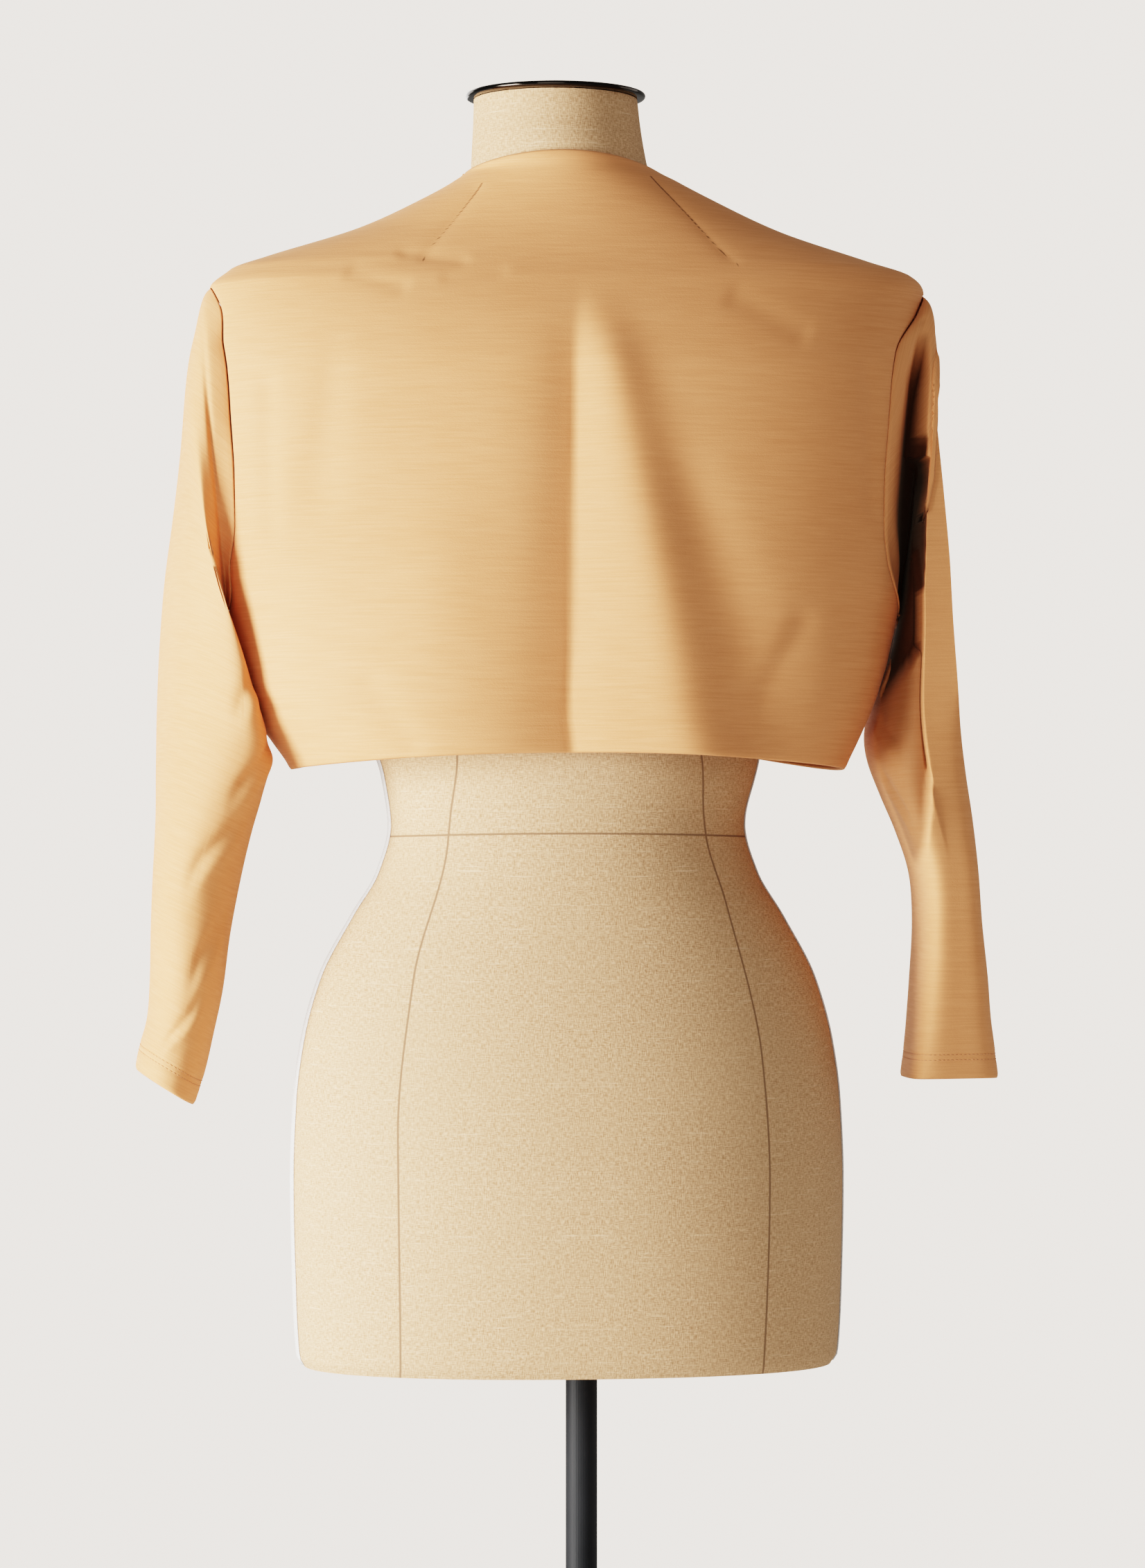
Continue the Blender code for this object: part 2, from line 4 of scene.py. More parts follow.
import bmesh
import bpy
import numpy as np
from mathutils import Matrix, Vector


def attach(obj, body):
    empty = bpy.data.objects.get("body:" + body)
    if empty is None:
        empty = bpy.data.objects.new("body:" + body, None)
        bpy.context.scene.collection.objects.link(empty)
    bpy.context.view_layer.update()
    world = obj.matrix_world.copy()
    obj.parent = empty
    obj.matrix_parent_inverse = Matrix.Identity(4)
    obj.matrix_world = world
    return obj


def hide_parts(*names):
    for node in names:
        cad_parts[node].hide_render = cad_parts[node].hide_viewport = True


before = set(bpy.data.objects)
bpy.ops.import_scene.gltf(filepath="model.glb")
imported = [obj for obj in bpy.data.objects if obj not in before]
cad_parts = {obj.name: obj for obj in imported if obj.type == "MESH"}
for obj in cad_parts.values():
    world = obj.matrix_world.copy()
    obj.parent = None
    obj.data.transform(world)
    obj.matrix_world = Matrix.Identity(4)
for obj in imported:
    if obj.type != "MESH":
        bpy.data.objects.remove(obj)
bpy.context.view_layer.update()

# Driving dimensions, in metres
BODY_WALL = 0.0018
SLEEVE_WALL = 0.0013
SEAM_GAP = 0.0003

# How far a sleeve's edge stands back at the shoulder point, tucks under a front, and is let out
# at the underarm
TOP_SET_BACK = 0.0003
FRONT_LAP = 0.0005
UNDERARM_EASE = 0.0012

HEM_HEIGHT = 1.0800
HEM_RISE_AT_CENTRE = 0.0090
UNDERARM = 1.1800
SHOULDER_POINT = 1.3880
NECK_EDGE = 1.4660
NECK_RISE_AT_CENTRE = 0.0085
NECK_TOP = 1.5148

# How square a sleeve's ring is at its back corners, for the left (1) and the right sleeve (-1)
RING_POWER = 2.2
OUTER_CORNER_POWER = {1: 2.2, -1: 5.0}
INNER_CORNER_POWER = {1: 2.2, -1: 4.5}

# Edges and seams roll inward by this depth, over this reach
EDGE_ROLL = 0.0009
SEAM_ROLL = 0.0009
ROLL_REACH = 0.0030
OPEN_EDGE_REACH = 0.0035

# Level sections of the form and of the jacket's body, each half an arc about the side seams
Section = namedtuple("Section", "height half_width seam_y back front power")
TORSO_SECTIONS = [Section(*row) for row in (
    (0.7, 0.169, -0.03, 0.101, 0.093, 2.25),
    (0.707, 0.1728, -0.03, 0.105, 0.096, 2.25),
    (0.75, 0.1752, -0.03, 0.113, 0.098, 2.25),
    (0.82, 0.1767, -0.03, 0.118, 0.099, 2.2),
    (0.87, 0.1748, -0.03, 0.114, 0.099, 2.2),
    (0.907, 0.17, -0.029, 0.108, 0.1, 2.15),
    (0.947, 0.1591, -0.028, 0.099, 0.1, 2.1),
    (0.987, 0.1381, -0.026, 0.09, 0.098, 2.1),
    (1.015, 0.1215, -0.025, 0.086, 0.095, 2.1),
    (1.045, 0.1137, -0.025, 0.084, 0.094, 2.1),
    (1.075, 0.119, -0.025, 0.088, 0.098, 2.1),
    (1.12, 0.132, -0.026, 0.096, 0.108, 2.15),
    (1.18, 0.146, -0.028, 0.104, 0.124, 2.2),
    (1.23, 0.153, -0.03, 0.108, 0.13, 2.2),
    (1.28, 0.159, -0.031, 0.109, 0.119, 2.25),
    (1.33, 0.174, -0.031, 0.104, 0.1, 2.25),
    (1.365, 0.189, -0.032, 0.091, 0.083, 2.2),
    (1.388, 0.196, -0.033, 0.078, 0.07, 2.15),
    (1.402, 0.1905, -0.035, 0.0712, 0.064, 2.1),
    (1.414, 0.1605, -0.038, 0.0672, 0.06, 2.05),
    (1.428, 0.129, -0.041, 0.0634, 0.0574, 2.0),
    (1.446, 0.0875, -0.045, 0.0577, 0.0547, 2.0),
    (1.458, 0.0655, -0.048, 0.0565, 0.054, 2.0),
    (1.468, 0.0578, -0.05, 0.0566, 0.0546, 2.0),
    (1.48, 0.056, -0.051, 0.0564, 0.0545, 2.0),
    (1.5, 0.054, -0.053, 0.054, 0.0535, 2.0),
    (1.515, 0.053, -0.054, 0.053, 0.053, 2.0),
)]
JACKET_SECTIONS = [Section(*row) for row in (
    (1.07, 0.1755, -0.03, 0.119, 0.121, 2.3),
    (1.081, 0.1785, -0.03, 0.119, 0.123, 2.3),
    (1.098, 0.188, -0.03, 0.12, 0.126, 2.3),
    (1.113, 0.1968, -0.03, 0.121, 0.129, 2.3),
    (1.13, 0.2035, -0.03, 0.122, 0.132, 2.3),
    (1.15, 0.209, -0.03, 0.123, 0.135, 2.3),
    (1.18, 0.2155, -0.03, 0.123, 0.137, 2.3),
    (1.2, 0.22, -0.03, 0.123, 0.137, 2.3),
    (1.235, 0.224, -0.03, 0.121, 0.135, 2.3),
    (1.28, 0.227, -0.03, 0.118, 0.126, 2.3),
    (1.33, 0.23, -0.03, 0.11, 0.108, 2.25),
    (1.36, 0.2315, -0.031, 0.099, 0.092, 2.2),
    (1.388, 0.2305, -0.033, 0.084, 0.077, 2.15),
    (1.4, 0.22, -0.0355, 0.0775, 0.071, 2.1),
    (1.408, 0.1975, -0.037, 0.0735, 0.0675, 2.05),
    (1.428, 0.1373, -0.041, 0.066, 0.061, 2.0),
    (1.448, 0.0953, -0.0455, 0.0615, 0.059, 2.0),
    (1.46, 0.0735, -0.0485, 0.06, 0.059, 2.0),
    (1.466, 0.0645, -0.05, 0.0595, 0.0585, 2.0),
    (1.476, 0.0612, -0.0505, 0.0585, 0.058, 2.0),
)]

# The middle of the sections sways a little from side to side
Lean = namedtuple("Lean", "height centre_x")
CENTRE_LINE = [Lean(*row) for row in (
    (0.7, 0.006),
    (1.0, 0.0066),
    (1.05, 0.007),
    (1.08, 0.0058),
    (1.098, 0.0075),
    (1.113, 0.0094),
    (1.13, 0.0096),
    (1.15, 0.009),
    (1.18, 0.009),
    (1.25, 0.0095),
    (1.33, 0.0085),
    (1.388, 0.005),
    (1.398, 0.0024),
    (1.41, 0.004),
    (1.43, 0.0035),
    (1.448, 0.004),
    (1.46, 0.0052),
    (1.472, 0.0096),
    (1.515, 0.0116),
)]

# An armhole seam's distance from the middle, behind and before
Armhole = namedtuple("Armhole", "height behind before")
ARMHOLE = [Armhole(*row) for row in (
    (1.18, 0.2155, 0.2155),
    (1.186, 0.2135, 0.21),
    (1.2, 0.2105, 0.203),
    (1.235, 0.2055, 0.193),
    (1.265, 0.206, 0.1905),
    (1.3, 0.2085, 0.192),
    (1.33, 0.211, 0.1985),
    (1.35, 0.2145, 0.206),
    (1.375, 0.224, 0.219),
    (1.388, 0.2305, 0.2305),
)]

# Behind, both armhole seams stand this much further to the wearer's left
ARMHOLE_SHIFT = 0.0062

# The open edge of a front, by its share of the way from the hem to the neck
FrontEdge = namedtuple("FrontEdge", "share across height")
FRONT_EDGE = [FrontEdge(*row) for row in (
    (0.0, 0.13, 1.09),
    (0.15, 0.1, 1.125),
    (0.3, 0.08, 1.175),
    (0.5, 0.062, 1.26),
    (0.7, 0.052, 1.335),
    (0.85, 0.049, 1.395),
    (1.0, 0.048, 1.448),
)]

# Soft ridges (height over zero) and troughs, each along a straight line of the cloth
Fold = namedtuple("Fold", "top_across top_height foot_across foot_height width height")
BACK_FOLDS = [Fold(*row) for row in (
    (-0.008, 1.385, -0.076, 1.075, 0.034, 0.01),
    (-0.055, 1.3, -0.125, 1.075, 0.034, -0.0045),
    (0.085, 1.27, 0.1, 1.075, 0.045, 0.003),
    (0.15, 1.365, 0.165, 1.2, 0.018, -0.003),
    (-0.155, 1.2, -0.12, 1.09, 0.025, -0.003),
)]
FRONT_FOLDS = [Fold(*row) for row in (
    (0.12, 1.3, 0.15, 1.12, 0.024, -0.005),
    (0.1, 1.36, 0.1, 1.15, 0.022, 0.0035),
)]
FOLD_FADE = 0.060

# The pressed crease down the back: a crisp valley, wider on the wearer's left than on the right
PRESSED_TOP_ACROSS = 0.0011
PRESSED_TOP_HEIGHT = 1.392
PRESSED_FOOT_ACROSS = 0.0065
PRESSED_DEPTH = 0.0142
PRESSED_REACH_LEFT = 0.040
PRESSED_REACH_RIGHT = 0.026

# Fine creases of the body panels. A sharp one has a crisp middle line
Crease = namedtuple("Crease", "from_across from_height to_across to_height width depth sharp")
BACK_CREASES = [Crease(*row) for row in (
    (0.057, 1.456, 0.104, 1.396, 0.0045, 0.0009, True),
    (-0.048, 1.462, -0.101, 1.395, 0.0045, 0.0009, True),
    (0.118, 1.405, 0.07, 1.3985, 0.0045, 0.0009, False),
    (0.15, 1.393, 0.105, 1.38, 0.006, 0.0008, False),
    (0.09, 1.387, 0.045, 1.392, 0.005, 0.0006, False),
    (0.193, 1.335, 0.19, 1.215, 0.007, 0.0016, False),
    (-0.188, 1.345, -0.19, 1.23, 0.007, 0.0012, False),
    (-0.1479, 1.182, -0.0963, 1.09, 0.008, 0.0014, False),
    (0.135, 1.14, 0.1, 1.085, 0.01, 0.001, False),
    (-0.09, 1.38, -0.15, 1.35, 0.009, 0.0008, False),
)]
FRONT_CREASES = [Crease(*row) for row in (
    (0.195, 1.3, 0.135, 1.235, 0.008, 0.0014, False),
    (0.185, 1.22, 0.145, 1.12, 0.009, 0.0012, False),
    (0.07, 1.42, 0.13, 1.37, 0.008, 0.0009, False),
)]

# A sleeve's rings below the armhole, from the outermost point over the back to the inner one
Ring = namedtuple("Ring", "outer_x outer_z inner_x inner_z back_y front_y twist")
LEFT_RINGS = [Ring(*row) for row in (
    (0.2392, 1.383, 0.2246, 1.1775, 0.018, -0.098, 0.0),
    (0.2419, 1.374, 0.2248, 1.174, 0.017, -0.092, 0.001),
    (0.2448, 1.36, 0.2244, 1.169, 0.02, -0.092, 0.001),
    (0.2485, 1.343, 0.2236, 1.163, 0.022, -0.1, 0.001),
    (0.2512, 1.32, 0.2233, 1.156, 0.025, -0.107, 0.001),
    (0.2532, 1.29, 0.2233, 1.148, 0.027, -0.111, -0.002),
    (0.2553, 1.254, 0.2217, 1.139, 0.028, -0.113, -0.008),
    (0.2571, 1.215, 0.2188, 1.128, 0.029, -0.113, -0.015),
    (0.259, 1.176, 0.2137, 1.114, 0.03, -0.112, -0.018),
    (0.2617, 1.14, 0.206, 1.099, 0.031, -0.11, -0.018),
    (0.2648, 1.108, 0.2008, 1.083, 0.029, -0.108, -0.015),
    (0.268, 1.078, 0.2035, 1.062, 0.026, -0.105, -0.009),
    (0.2697, 1.048, 0.2092, 1.038, 0.023, -0.103, -0.004),
    (0.2715, 1.016, 0.2156, 1.008, 0.02, -0.101, 0.0),
    (0.2726, 0.982, 0.2218, 0.975, 0.016, -0.099, 0.0),
    (0.2731, 0.948, 0.2264, 0.94, 0.012, -0.097, 0.0),
    (0.2748, 0.922, 0.2322, 0.912, 0.008, -0.096, 0.0),
    (0.2798, 0.903, 0.2376, 0.888, 0.004, -0.095, 0.0),
    (0.2824, 0.889, 0.2445, 0.866, 0.001, -0.094, 0.0),
)]
RIGHT_RINGS = [Ring(*row) for row in (
    (0.2262, 1.383, 0.2096, 1.1775, 0.01, -0.098, 0.0),
    (0.2272, 1.374, 0.21, 1.174, 0.0, -0.092, 0.003),
    (0.2263, 1.36, 0.2096, 1.169, 0.001, -0.092, 0.004),
    (0.2242, 1.343, 0.2086, 1.163, 0.014, -0.098, 0.003),
    (0.2241, 1.32, 0.2072, 1.156, 0.025, -0.106, 0.001),
    (0.2267, 1.29, 0.2048, 1.148, 0.031, -0.11, 0.0),
    (0.2298, 1.254, 0.2016, 1.14, 0.034, -0.112, 0.0),
    (0.2324, 1.215, 0.1978, 1.13, 0.034, -0.112, 0.001),
    (0.2348, 1.176, 0.1943, 1.116, 0.033, -0.111, 0.001),
    (0.2379, 1.14, 0.1908, 1.101, 0.031, -0.109, 0.001),
    (0.2412, 1.108, 0.1926, 1.085, 0.029, -0.107, 0.001),
    (0.247, 1.078, 0.1998, 1.064, 0.026, -0.105, 0.0),
    (0.2528, 1.048, 0.2093, 1.04, 0.023, -0.103, 0.0),
    (0.2568, 1.016, 0.2177, 1.012, 0.02, -0.101, 0.0),
    (0.2599, 0.982, 0.2201, 0.979, 0.016, -0.099, 0.0),
    (0.2644, 0.948, 0.2188, 0.946, 0.012, -0.098, 0.0),
    (0.2672, 0.922, 0.2169, 0.919, 0.008, -0.097, 0.0),
    (0.2702, 0.904, 0.2149, 0.9, 0.005, -0.096, 0.0),
    (0.2736, 0.882, 0.2124, 0.882, 0.002, -0.095, 0.0),
)]

# Cloth pushed in across a sleeve: ring number, turn from the top in degrees, reach and depth
Dent = namedtuple("Dent", "ring turn rings_wide degrees_wide depth")
LEFT_DENTS = [Dent(*row) for row in (
    (11.0, 60, 1.6, 40, 0.0035),
    (14.5, 95, 1.6, 40, 0.003),
    (10.5, 215, 1.8, 50, 0.004),
    (13.5, 290, 1.5, 45, 0.0035),
)]
RIGHT_DENTS = [Dent(*row) for row in (
    (12.0, 300, 1.6, 45, 0.0035),
    (14.0, 240, 1.5, 45, 0.0035),
    (10.0, 120, 1.5, 35, 0.003),
)]

# Creases of a sleeve, from one (ring, turn) to another; width and depth in metres
SleeveCrease = namedtuple("SleeveCrease", "ring_a turn_a ring_b turn_b width depth")
LEFT_CREASES = [SleeveCrease(*row) for row in (
    (8.5, 120, 10.5, 75, 0.006, 0.0024),
    (10.0, 150, 12.5, 95, 0.007, 0.0028),
    (12.5, 135, 14.2, 70, 0.0065, 0.0022),
    (14.5, 150, 16.0, 85, 0.006, 0.0022),
    (16.0, 120, 17.8, 60, 0.005, 0.0016),
    (4.0, 150, 8.0, 135, 0.008, 0.0025),
    (9.0, 230, 11.5, 285, 0.007, 0.0028),
    (12.0, 215, 14.5, 275, 0.007, 0.0024),
    (6.0, 215, 8.5, 240, 0.008, 0.0022),
)]
RIGHT_CREASES = [SleeveCrease(*row) for row in (
    (9.5, 215, 11.5, 270, 0.007, 0.0026),
    (11.5, 225, 13.5, 290, 0.007, 0.0024),
    (13.8, 215, 15.5, 270, 0.006, 0.002),
    (9.0, 170, 11.0, 120, 0.006, 0.0016),
    (11.0, 175, 13.0, 130, 0.006, 0.0016),
    (5.0, 215, 8.0, 235, 0.008, 0.0022),
)]

# Behind the right sleeve: a hollow with a soft inner and a crisp outer edge, and the step down
# from the flat outer strip to the cloth inside it
Pleat = namedtuple("Pleat", "height inner_x outer_x depth")
RIGHT_PLEAT = [Pleat(*row) for row in (
    (1.08, -0.17, -0.172, 0.0),
    (1.108, -0.17, -0.177, 0.02),
    (1.14, -0.18, -0.193, 0.03),
    (1.168, -0.196, -0.2085, 0.033),
    (1.19, -0.206, -0.2137, 0.033),
    (1.207, -0.206, -0.2147, 0.038),
    (1.244, -0.201, -0.216, 0.043),
    (1.285, -0.2035, -0.217, 0.04),
    (1.324, -0.208, -0.218, 0.034),
    (1.346, -0.2125, -0.2188, 0.022),
    (1.358, -0.216, -0.219, 0.011),
    (1.37, -0.219, -0.2192, 0.0),
)]
Step = namedtuple("Step", "height edge_x drop flat_y flat")
RIGHT_STEP = [Step(*row) for row in (
    (0.86, -0.2, 0.0, 0.0, 0.0),
    (0.99, -0.2, 0.0, 0.019, 0.0),
    (1.02, -0.2037, 0.0075, 0.021, 0.0),
    (1.075, -0.2085, 0.01, 0.026, 0.6),
    (1.137, -0.2103, 0.0105, 0.03, 1.0),
    (1.173, -0.212, 0.009, 0.031, 1.0),
    (1.207, -0.2147, 0.006, 0.031, 1.0),
    (1.244, -0.216, 0.0, 0.029, 1.0),
    (1.285, -0.217, 0.0, 0.025, 1.0),
    (1.324, -0.218, 0.0, 0.018, 1.0),
    (1.346, -0.2188, 0.0, 0.011, 0.7),
    (1.36, -0.2192, 0.0, 0.005, 0.3),
    (1.375, -0.2192, 0.0, 0.0, 0.0),
)]
FLAT_SLOPE = 0.22
# How steeply the right sleeve's lower back turns away to the right
AWAY_SLOPE = 0.28
AWAY_FROM = 1.150
AWAY_FULL = 1.040

# About how far apart a sleeve's rings and its degrees lie on the cloth
METRES_PER_RING = 0.026
METRES_PER_DEGREE = 0.0009

# Stitches round each cuff, at these heights above its edge, and how far they pull the cloth in
COVERSTITCH_LIFTS = (0.0125, 0.0160)
STITCH_PITCH = 0.0030
STITCH_PULL = 0.0004
STITCH_PULL_REACH = 0.0010
STITCH_RADIUS = 0.00030
STITCH_LIFT = 0.00012
STITCH_STATIONS = (0.06, 0.20, 0.42, 0.64, 0.78)
STITCH_SWELL = (0.35, 0.9, 1.0, 0.9, 0.35)
STITCH_CORNERS = 6

# Seams down the back of the form's linen cover
SeamPoint = namedtuple("SeamPoint", "height across")
LEFT_BACK_SEAM = [SeamPoint(*row) for row in (
    (0.7, 0.1123),
    (0.8507, 0.1143),
    (0.9479, 0.1036),
    (1.0335, 0.0808),
    (1.2, 0.07),
    (1.39, 0.056),
)]
RIGHT_BACK_SEAM = [SeamPoint(*row) for row in (
    (0.7, -0.1155),
    (0.8253, -0.1185),
    (0.898, -0.1147),
    (0.9965, -0.094),
    (1.0383, -0.0823),
    (1.2, -0.07),
    (1.39, -0.056),
)]
WAIST_SEAM_HEIGHT = 1.0350

# Attributes hold a seam's distance in millimetres, and this where there is none
FAR_FROM_SEAM = 1000.0
MM = 1000

# The side tapes of the form
TAPE_WIDTH = 0.024
TAPE_LIFT = 0.0011
TAPE_EDGE_LIFT = 0.0008
TAPE_EDGE_TUCK = 0.0007
HIP_DEPTH = 0.110

# The cloth drawn in behind the right sleeve: how soft the hollow's edges are, and the shade painted
# into its colour
CREST_SHARE = 0.0003
CREST_RUN = 0.0025
WALL_START = 0.0016
WALL_RUN = 0.0026
FULL_SHADE_DEPTH = 0.030
STEP_SHADE = 0.60
CLOSE_DEGREES = (0.03, 0.18, 0.5, 1.03, 1.8)
SLEEVE_SIDES = 144
FORM_SIDES = 168


def steady_curve(stations, values):
    """A smooth curve through the values that never swings past them."""
    stations = np.array(stations, float)
    values = np.array(values, float)
    steps = np.diff(stations)
    slopes = np.diff(values) / steps
    before, after = slopes[:-1], slopes[1:]
    same_way = before * after > 0
    middle = np.where(same_way, 2 * before * after / np.where(same_way, before + after, 1.0), 0.0)
    tangents = np.concatenate([slopes[:1], middle, slopes[-1:]])

    def value_at(station):
        station = np.clip(station, stations[0], stations[-1])
        i = np.clip(np.searchsorted(stations, station, side="right") - 1, 0, len(steps) - 1)
        t = (station - stations[i]) / steps[i]
        rise = values[i + 1] - values[i]
        start = tangents[i] * steps[i] - rise
        end = rise - tangents[i + 1] * steps[i]
        return values[i] + t * rise + t * (1 - t) * ((1 - t) * start + t * end)

    return value_at


def curves_of(table, station_name="height"):
    stations = [getattr(row, station_name) for row in table]
    return {
        name: steady_curve(stations, [getattr(row, name) for row in table])
        for name in table[0]._fields
    }


TORSO = curves_of(TORSO_SECTIONS)
JACKET = curves_of(JACKET_SECTIONS)
LEAN = curves_of(CENTRE_LINE)
ARM = curves_of(ARMHOLE)
EDGE = curves_of(FRONT_EDGE, "share")
PLEAT = curves_of(RIGHT_PLEAT)
STEP = curves_of(RIGHT_STEP)


def body_points(body, across, height, facing):
    """Points of level sections that lie this far to the wearer's left of the centre line."""
    share = np.minimum(np.abs(across) / body["half_width"](height), 1.0)
    power = body["power"](height)
    reach = np.where(facing > 0, body["back"](height), body["front"](height))
    y = body["seam_y"](height) + facing * reach * (1 - share**power) ** (1 / power)
    return np.stack(np.broadcast_arrays(LEAN["centre_x"](height) + across, y, height), axis=-1)


def smooth_step(t):
    t = np.clip(t, 0.0, 1.0)
    return t * t * (3 - 2 * t)


def fold_height(folds, across, height):
    total = np.zeros(np.broadcast(across, height).shape)
    for fold in folds:
        down = (fold.top_height - height) / (fold.top_height - fold.foot_height)
        middle = fold.top_across + (fold.foot_across - fold.top_across) * down
        fade = smooth_step((fold.top_height - height) / FOLD_FADE)
        if fold.foot_height > HEM_HEIGHT:
            fade = fade * smooth_step((height - fold.foot_height) / FOLD_FADE)
        grown = 0.45 + 0.55 * np.clip(down, 0.0, 1.0)
        width = fold.width * grown
        total += fold.height * grown * fade * np.exp(-(((across - middle) / width) ** 2))
    return total


def pressed_valley(across, height):
    """The depth of the pressed crease: a slope down to a crisp line on each side of it."""
    down = (PRESSED_TOP_HEIGHT - height) / (PRESSED_TOP_HEIGHT - HEM_HEIGHT)
    line = PRESSED_TOP_ACROSS + (PRESSED_FOOT_ACROSS - PRESSED_TOP_ACROSS) * down
    grown = 0.30 + 0.70 * np.clip(down, 0.0, 1.0)
    reach = np.where(across > line, PRESSED_REACH_LEFT, PRESSED_REACH_RIGHT) * grown
    away = np.abs(across - line) / reach
    shape = np.exp(-(away**1.35)) + 0.10 * np.exp(-away * 12)
    return PRESSED_DEPTH * grown * smooth_step(down / 0.22) * shape


def along_line(u, v, u_a, v_a, u_b, v_b):
    """(share along the line, signed distance from it) for points of a plane."""
    run_u, run_v = u_b - u_a, v_b - v_a
    length = math.hypot(run_u, run_v)
    share = ((u - u_a) * run_u + (v - v_a) * run_v) / length**2
    off = ((u - u_a) * run_v - (v - v_a) * run_u) / length
    return share, off


def crease_depth(creases, across, height):
    total = np.zeros(np.broadcast(across, height).shape)
    for c in creases:
        share, off = along_line(across, height, *c[:4])
        ends = smooth_step(share / 0.15) * smooth_step((1 - share) / 0.15)
        if c.to_height < HEM_HEIGHT:
            ends = smooth_step(share / 0.08)
        shape = np.exp(-np.abs(off) / c.width) if c.sharp else np.exp(-((off / c.width) ** 2))
        total += c.depth * ends * shape
    return total


def grid_normals(points, closed):
    """Outward-or-inward unit normals of a grid of points, by finite differences."""
    down = np.gradient(points, axis=0)
    if closed:
        across = np.roll(points, -1, axis=1) - np.roll(points, 1, axis=1)
    else:
        across = np.gradient(points, axis=1)
    normal = np.cross(across, down)
    return normal / np.maximum(np.linalg.norm(normal, axis=-1, keepdims=True), 1e-12)


def scene_object(name, data):
    made = bpy.data.objects.new(name, data)
    bpy.context.scene.collection.objects.link(made)
    return made


def grid_piece(name, points, closed=False, flip=False, wall=0.0, attributes=None):
    """A mesh over a grid of points, with vertex attributes, and a wall laid on its inner side."""
    rows, columns = points.shape[:2]
    index = np.arange(rows * columns).reshape(rows, columns)
    right = np.roll(index, -1, axis=1) if closed else index[:, 1:]
    left = index if closed else index[:, :-1]
    corners = [left[:-1], right[:-1], right[1:], left[1:]]
    faces = np.stack([c.ravel() for c in corners], axis=1)
    if flip:
        faces = faces[:, ::-1]
    mesh = bpy.data.meshes.new(name)
    mesh.from_pydata(points.reshape(-1, 3).tolist(), [], faces.tolist())
    for key, values in (attributes or {}).items():
        kind, field = ("FLOAT_VECTOR", "vector") if values.ndim == 3 else ("FLOAT", "value")
        layer = mesh.attributes.new(key, kind, "POINT")
        layer.data.foreach_set(field, values.astype(np.float32).ravel())
    mesh.shade_smooth()
    piece = scene_object(name, mesh)
    if wall:
        solid = piece.modifiers.new("cloth wall", "SOLIDIFY")
        solid.thickness = wall
        solid.offset = -1.0
    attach(piece, "root")
    return piece


def arc_lengths(points, axis):
    steps = np.linalg.norm(np.diff(points, axis=axis), axis=-1)
    start = np.zeros_like(np.take(steps, [0], axis=axis))
    return np.concatenate([start, np.cumsum(steps, axis=axis)], axis=axis)


def edge_ramp(distance, reach):
    """1 at an edge, falling smoothly to 0 at this reach from it."""
    return np.clip(1 - distance / reach, 0.0, 1.0) ** 2


# Body panels


def armhole_height(turn):
    return 0.5 * (SHOULDER_POINT + UNDERARM) + 0.5 * (SHOULDER_POINT - UNDERARM) * np.cos(turn)


def armhole_across(height, facing):
    return np.where(facing > 0, ARM["behind"](height), ARM["before"](height))


def armhole_shift(height, facing):
    """How far both seams stand to the wearer's left of their mirrored places."""
    share = (height - UNDERARM) / (SHOULDER_POINT - UNDERARM)
    ends = smooth_step(share / 0.16) * smooth_step(((1 - share) - 0.06) / 0.14)
    return np.where(facing > 0, ARMHOLE_SHIFT * ends, 0.0)


def side_edge(facing):
    """(height, half width) of a body panel's side edge from the hem to the neck, finely stepped."""
    low = np.concatenate([[0.0, 0.0012, 0.0026], np.linspace(0.0045, 0.100, 40)[:-1]])
    low = HEM_HEIGHT + low
    turn = math.pi * (1 - np.arange(110) / 110)
    middle = armhole_height(turn)
    top = np.concatenate([np.linspace(0.0, 0.97, 56), [0.984, 1.0]])
    top = SHOULDER_POINT + (NECK_EDGE - SHOULDER_POINT) * top
    height = np.concatenate([low, middle, top])
    half = np.concatenate(
        [JACKET["half_width"](low), armhole_across(middle, facing), JACKET["half_width"](top)]
    )
    beside_armhole = np.concatenate([np.zeros(len(low)), np.ones(len(middle)), np.zeros(len(top))])
    return height[:, None], half[:, None], beside_armhole[:, None]


def panel_piece(name, points, flip, across, level, seam, node):
    """A body panel's cloth over its points, with the weave level and the seam's distance."""
    weave = np.stack([across, points[..., 1] * 0.5, level], axis=-1)
    attributes = {"weave": weave, "seam": seam}
    piece = grid_piece(name, points, flip=flip, wall=BODY_WALL, attributes=attributes)
    piece.data.materials.append(MATERIALS["camel_cloth"])
    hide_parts(node)
    return piece


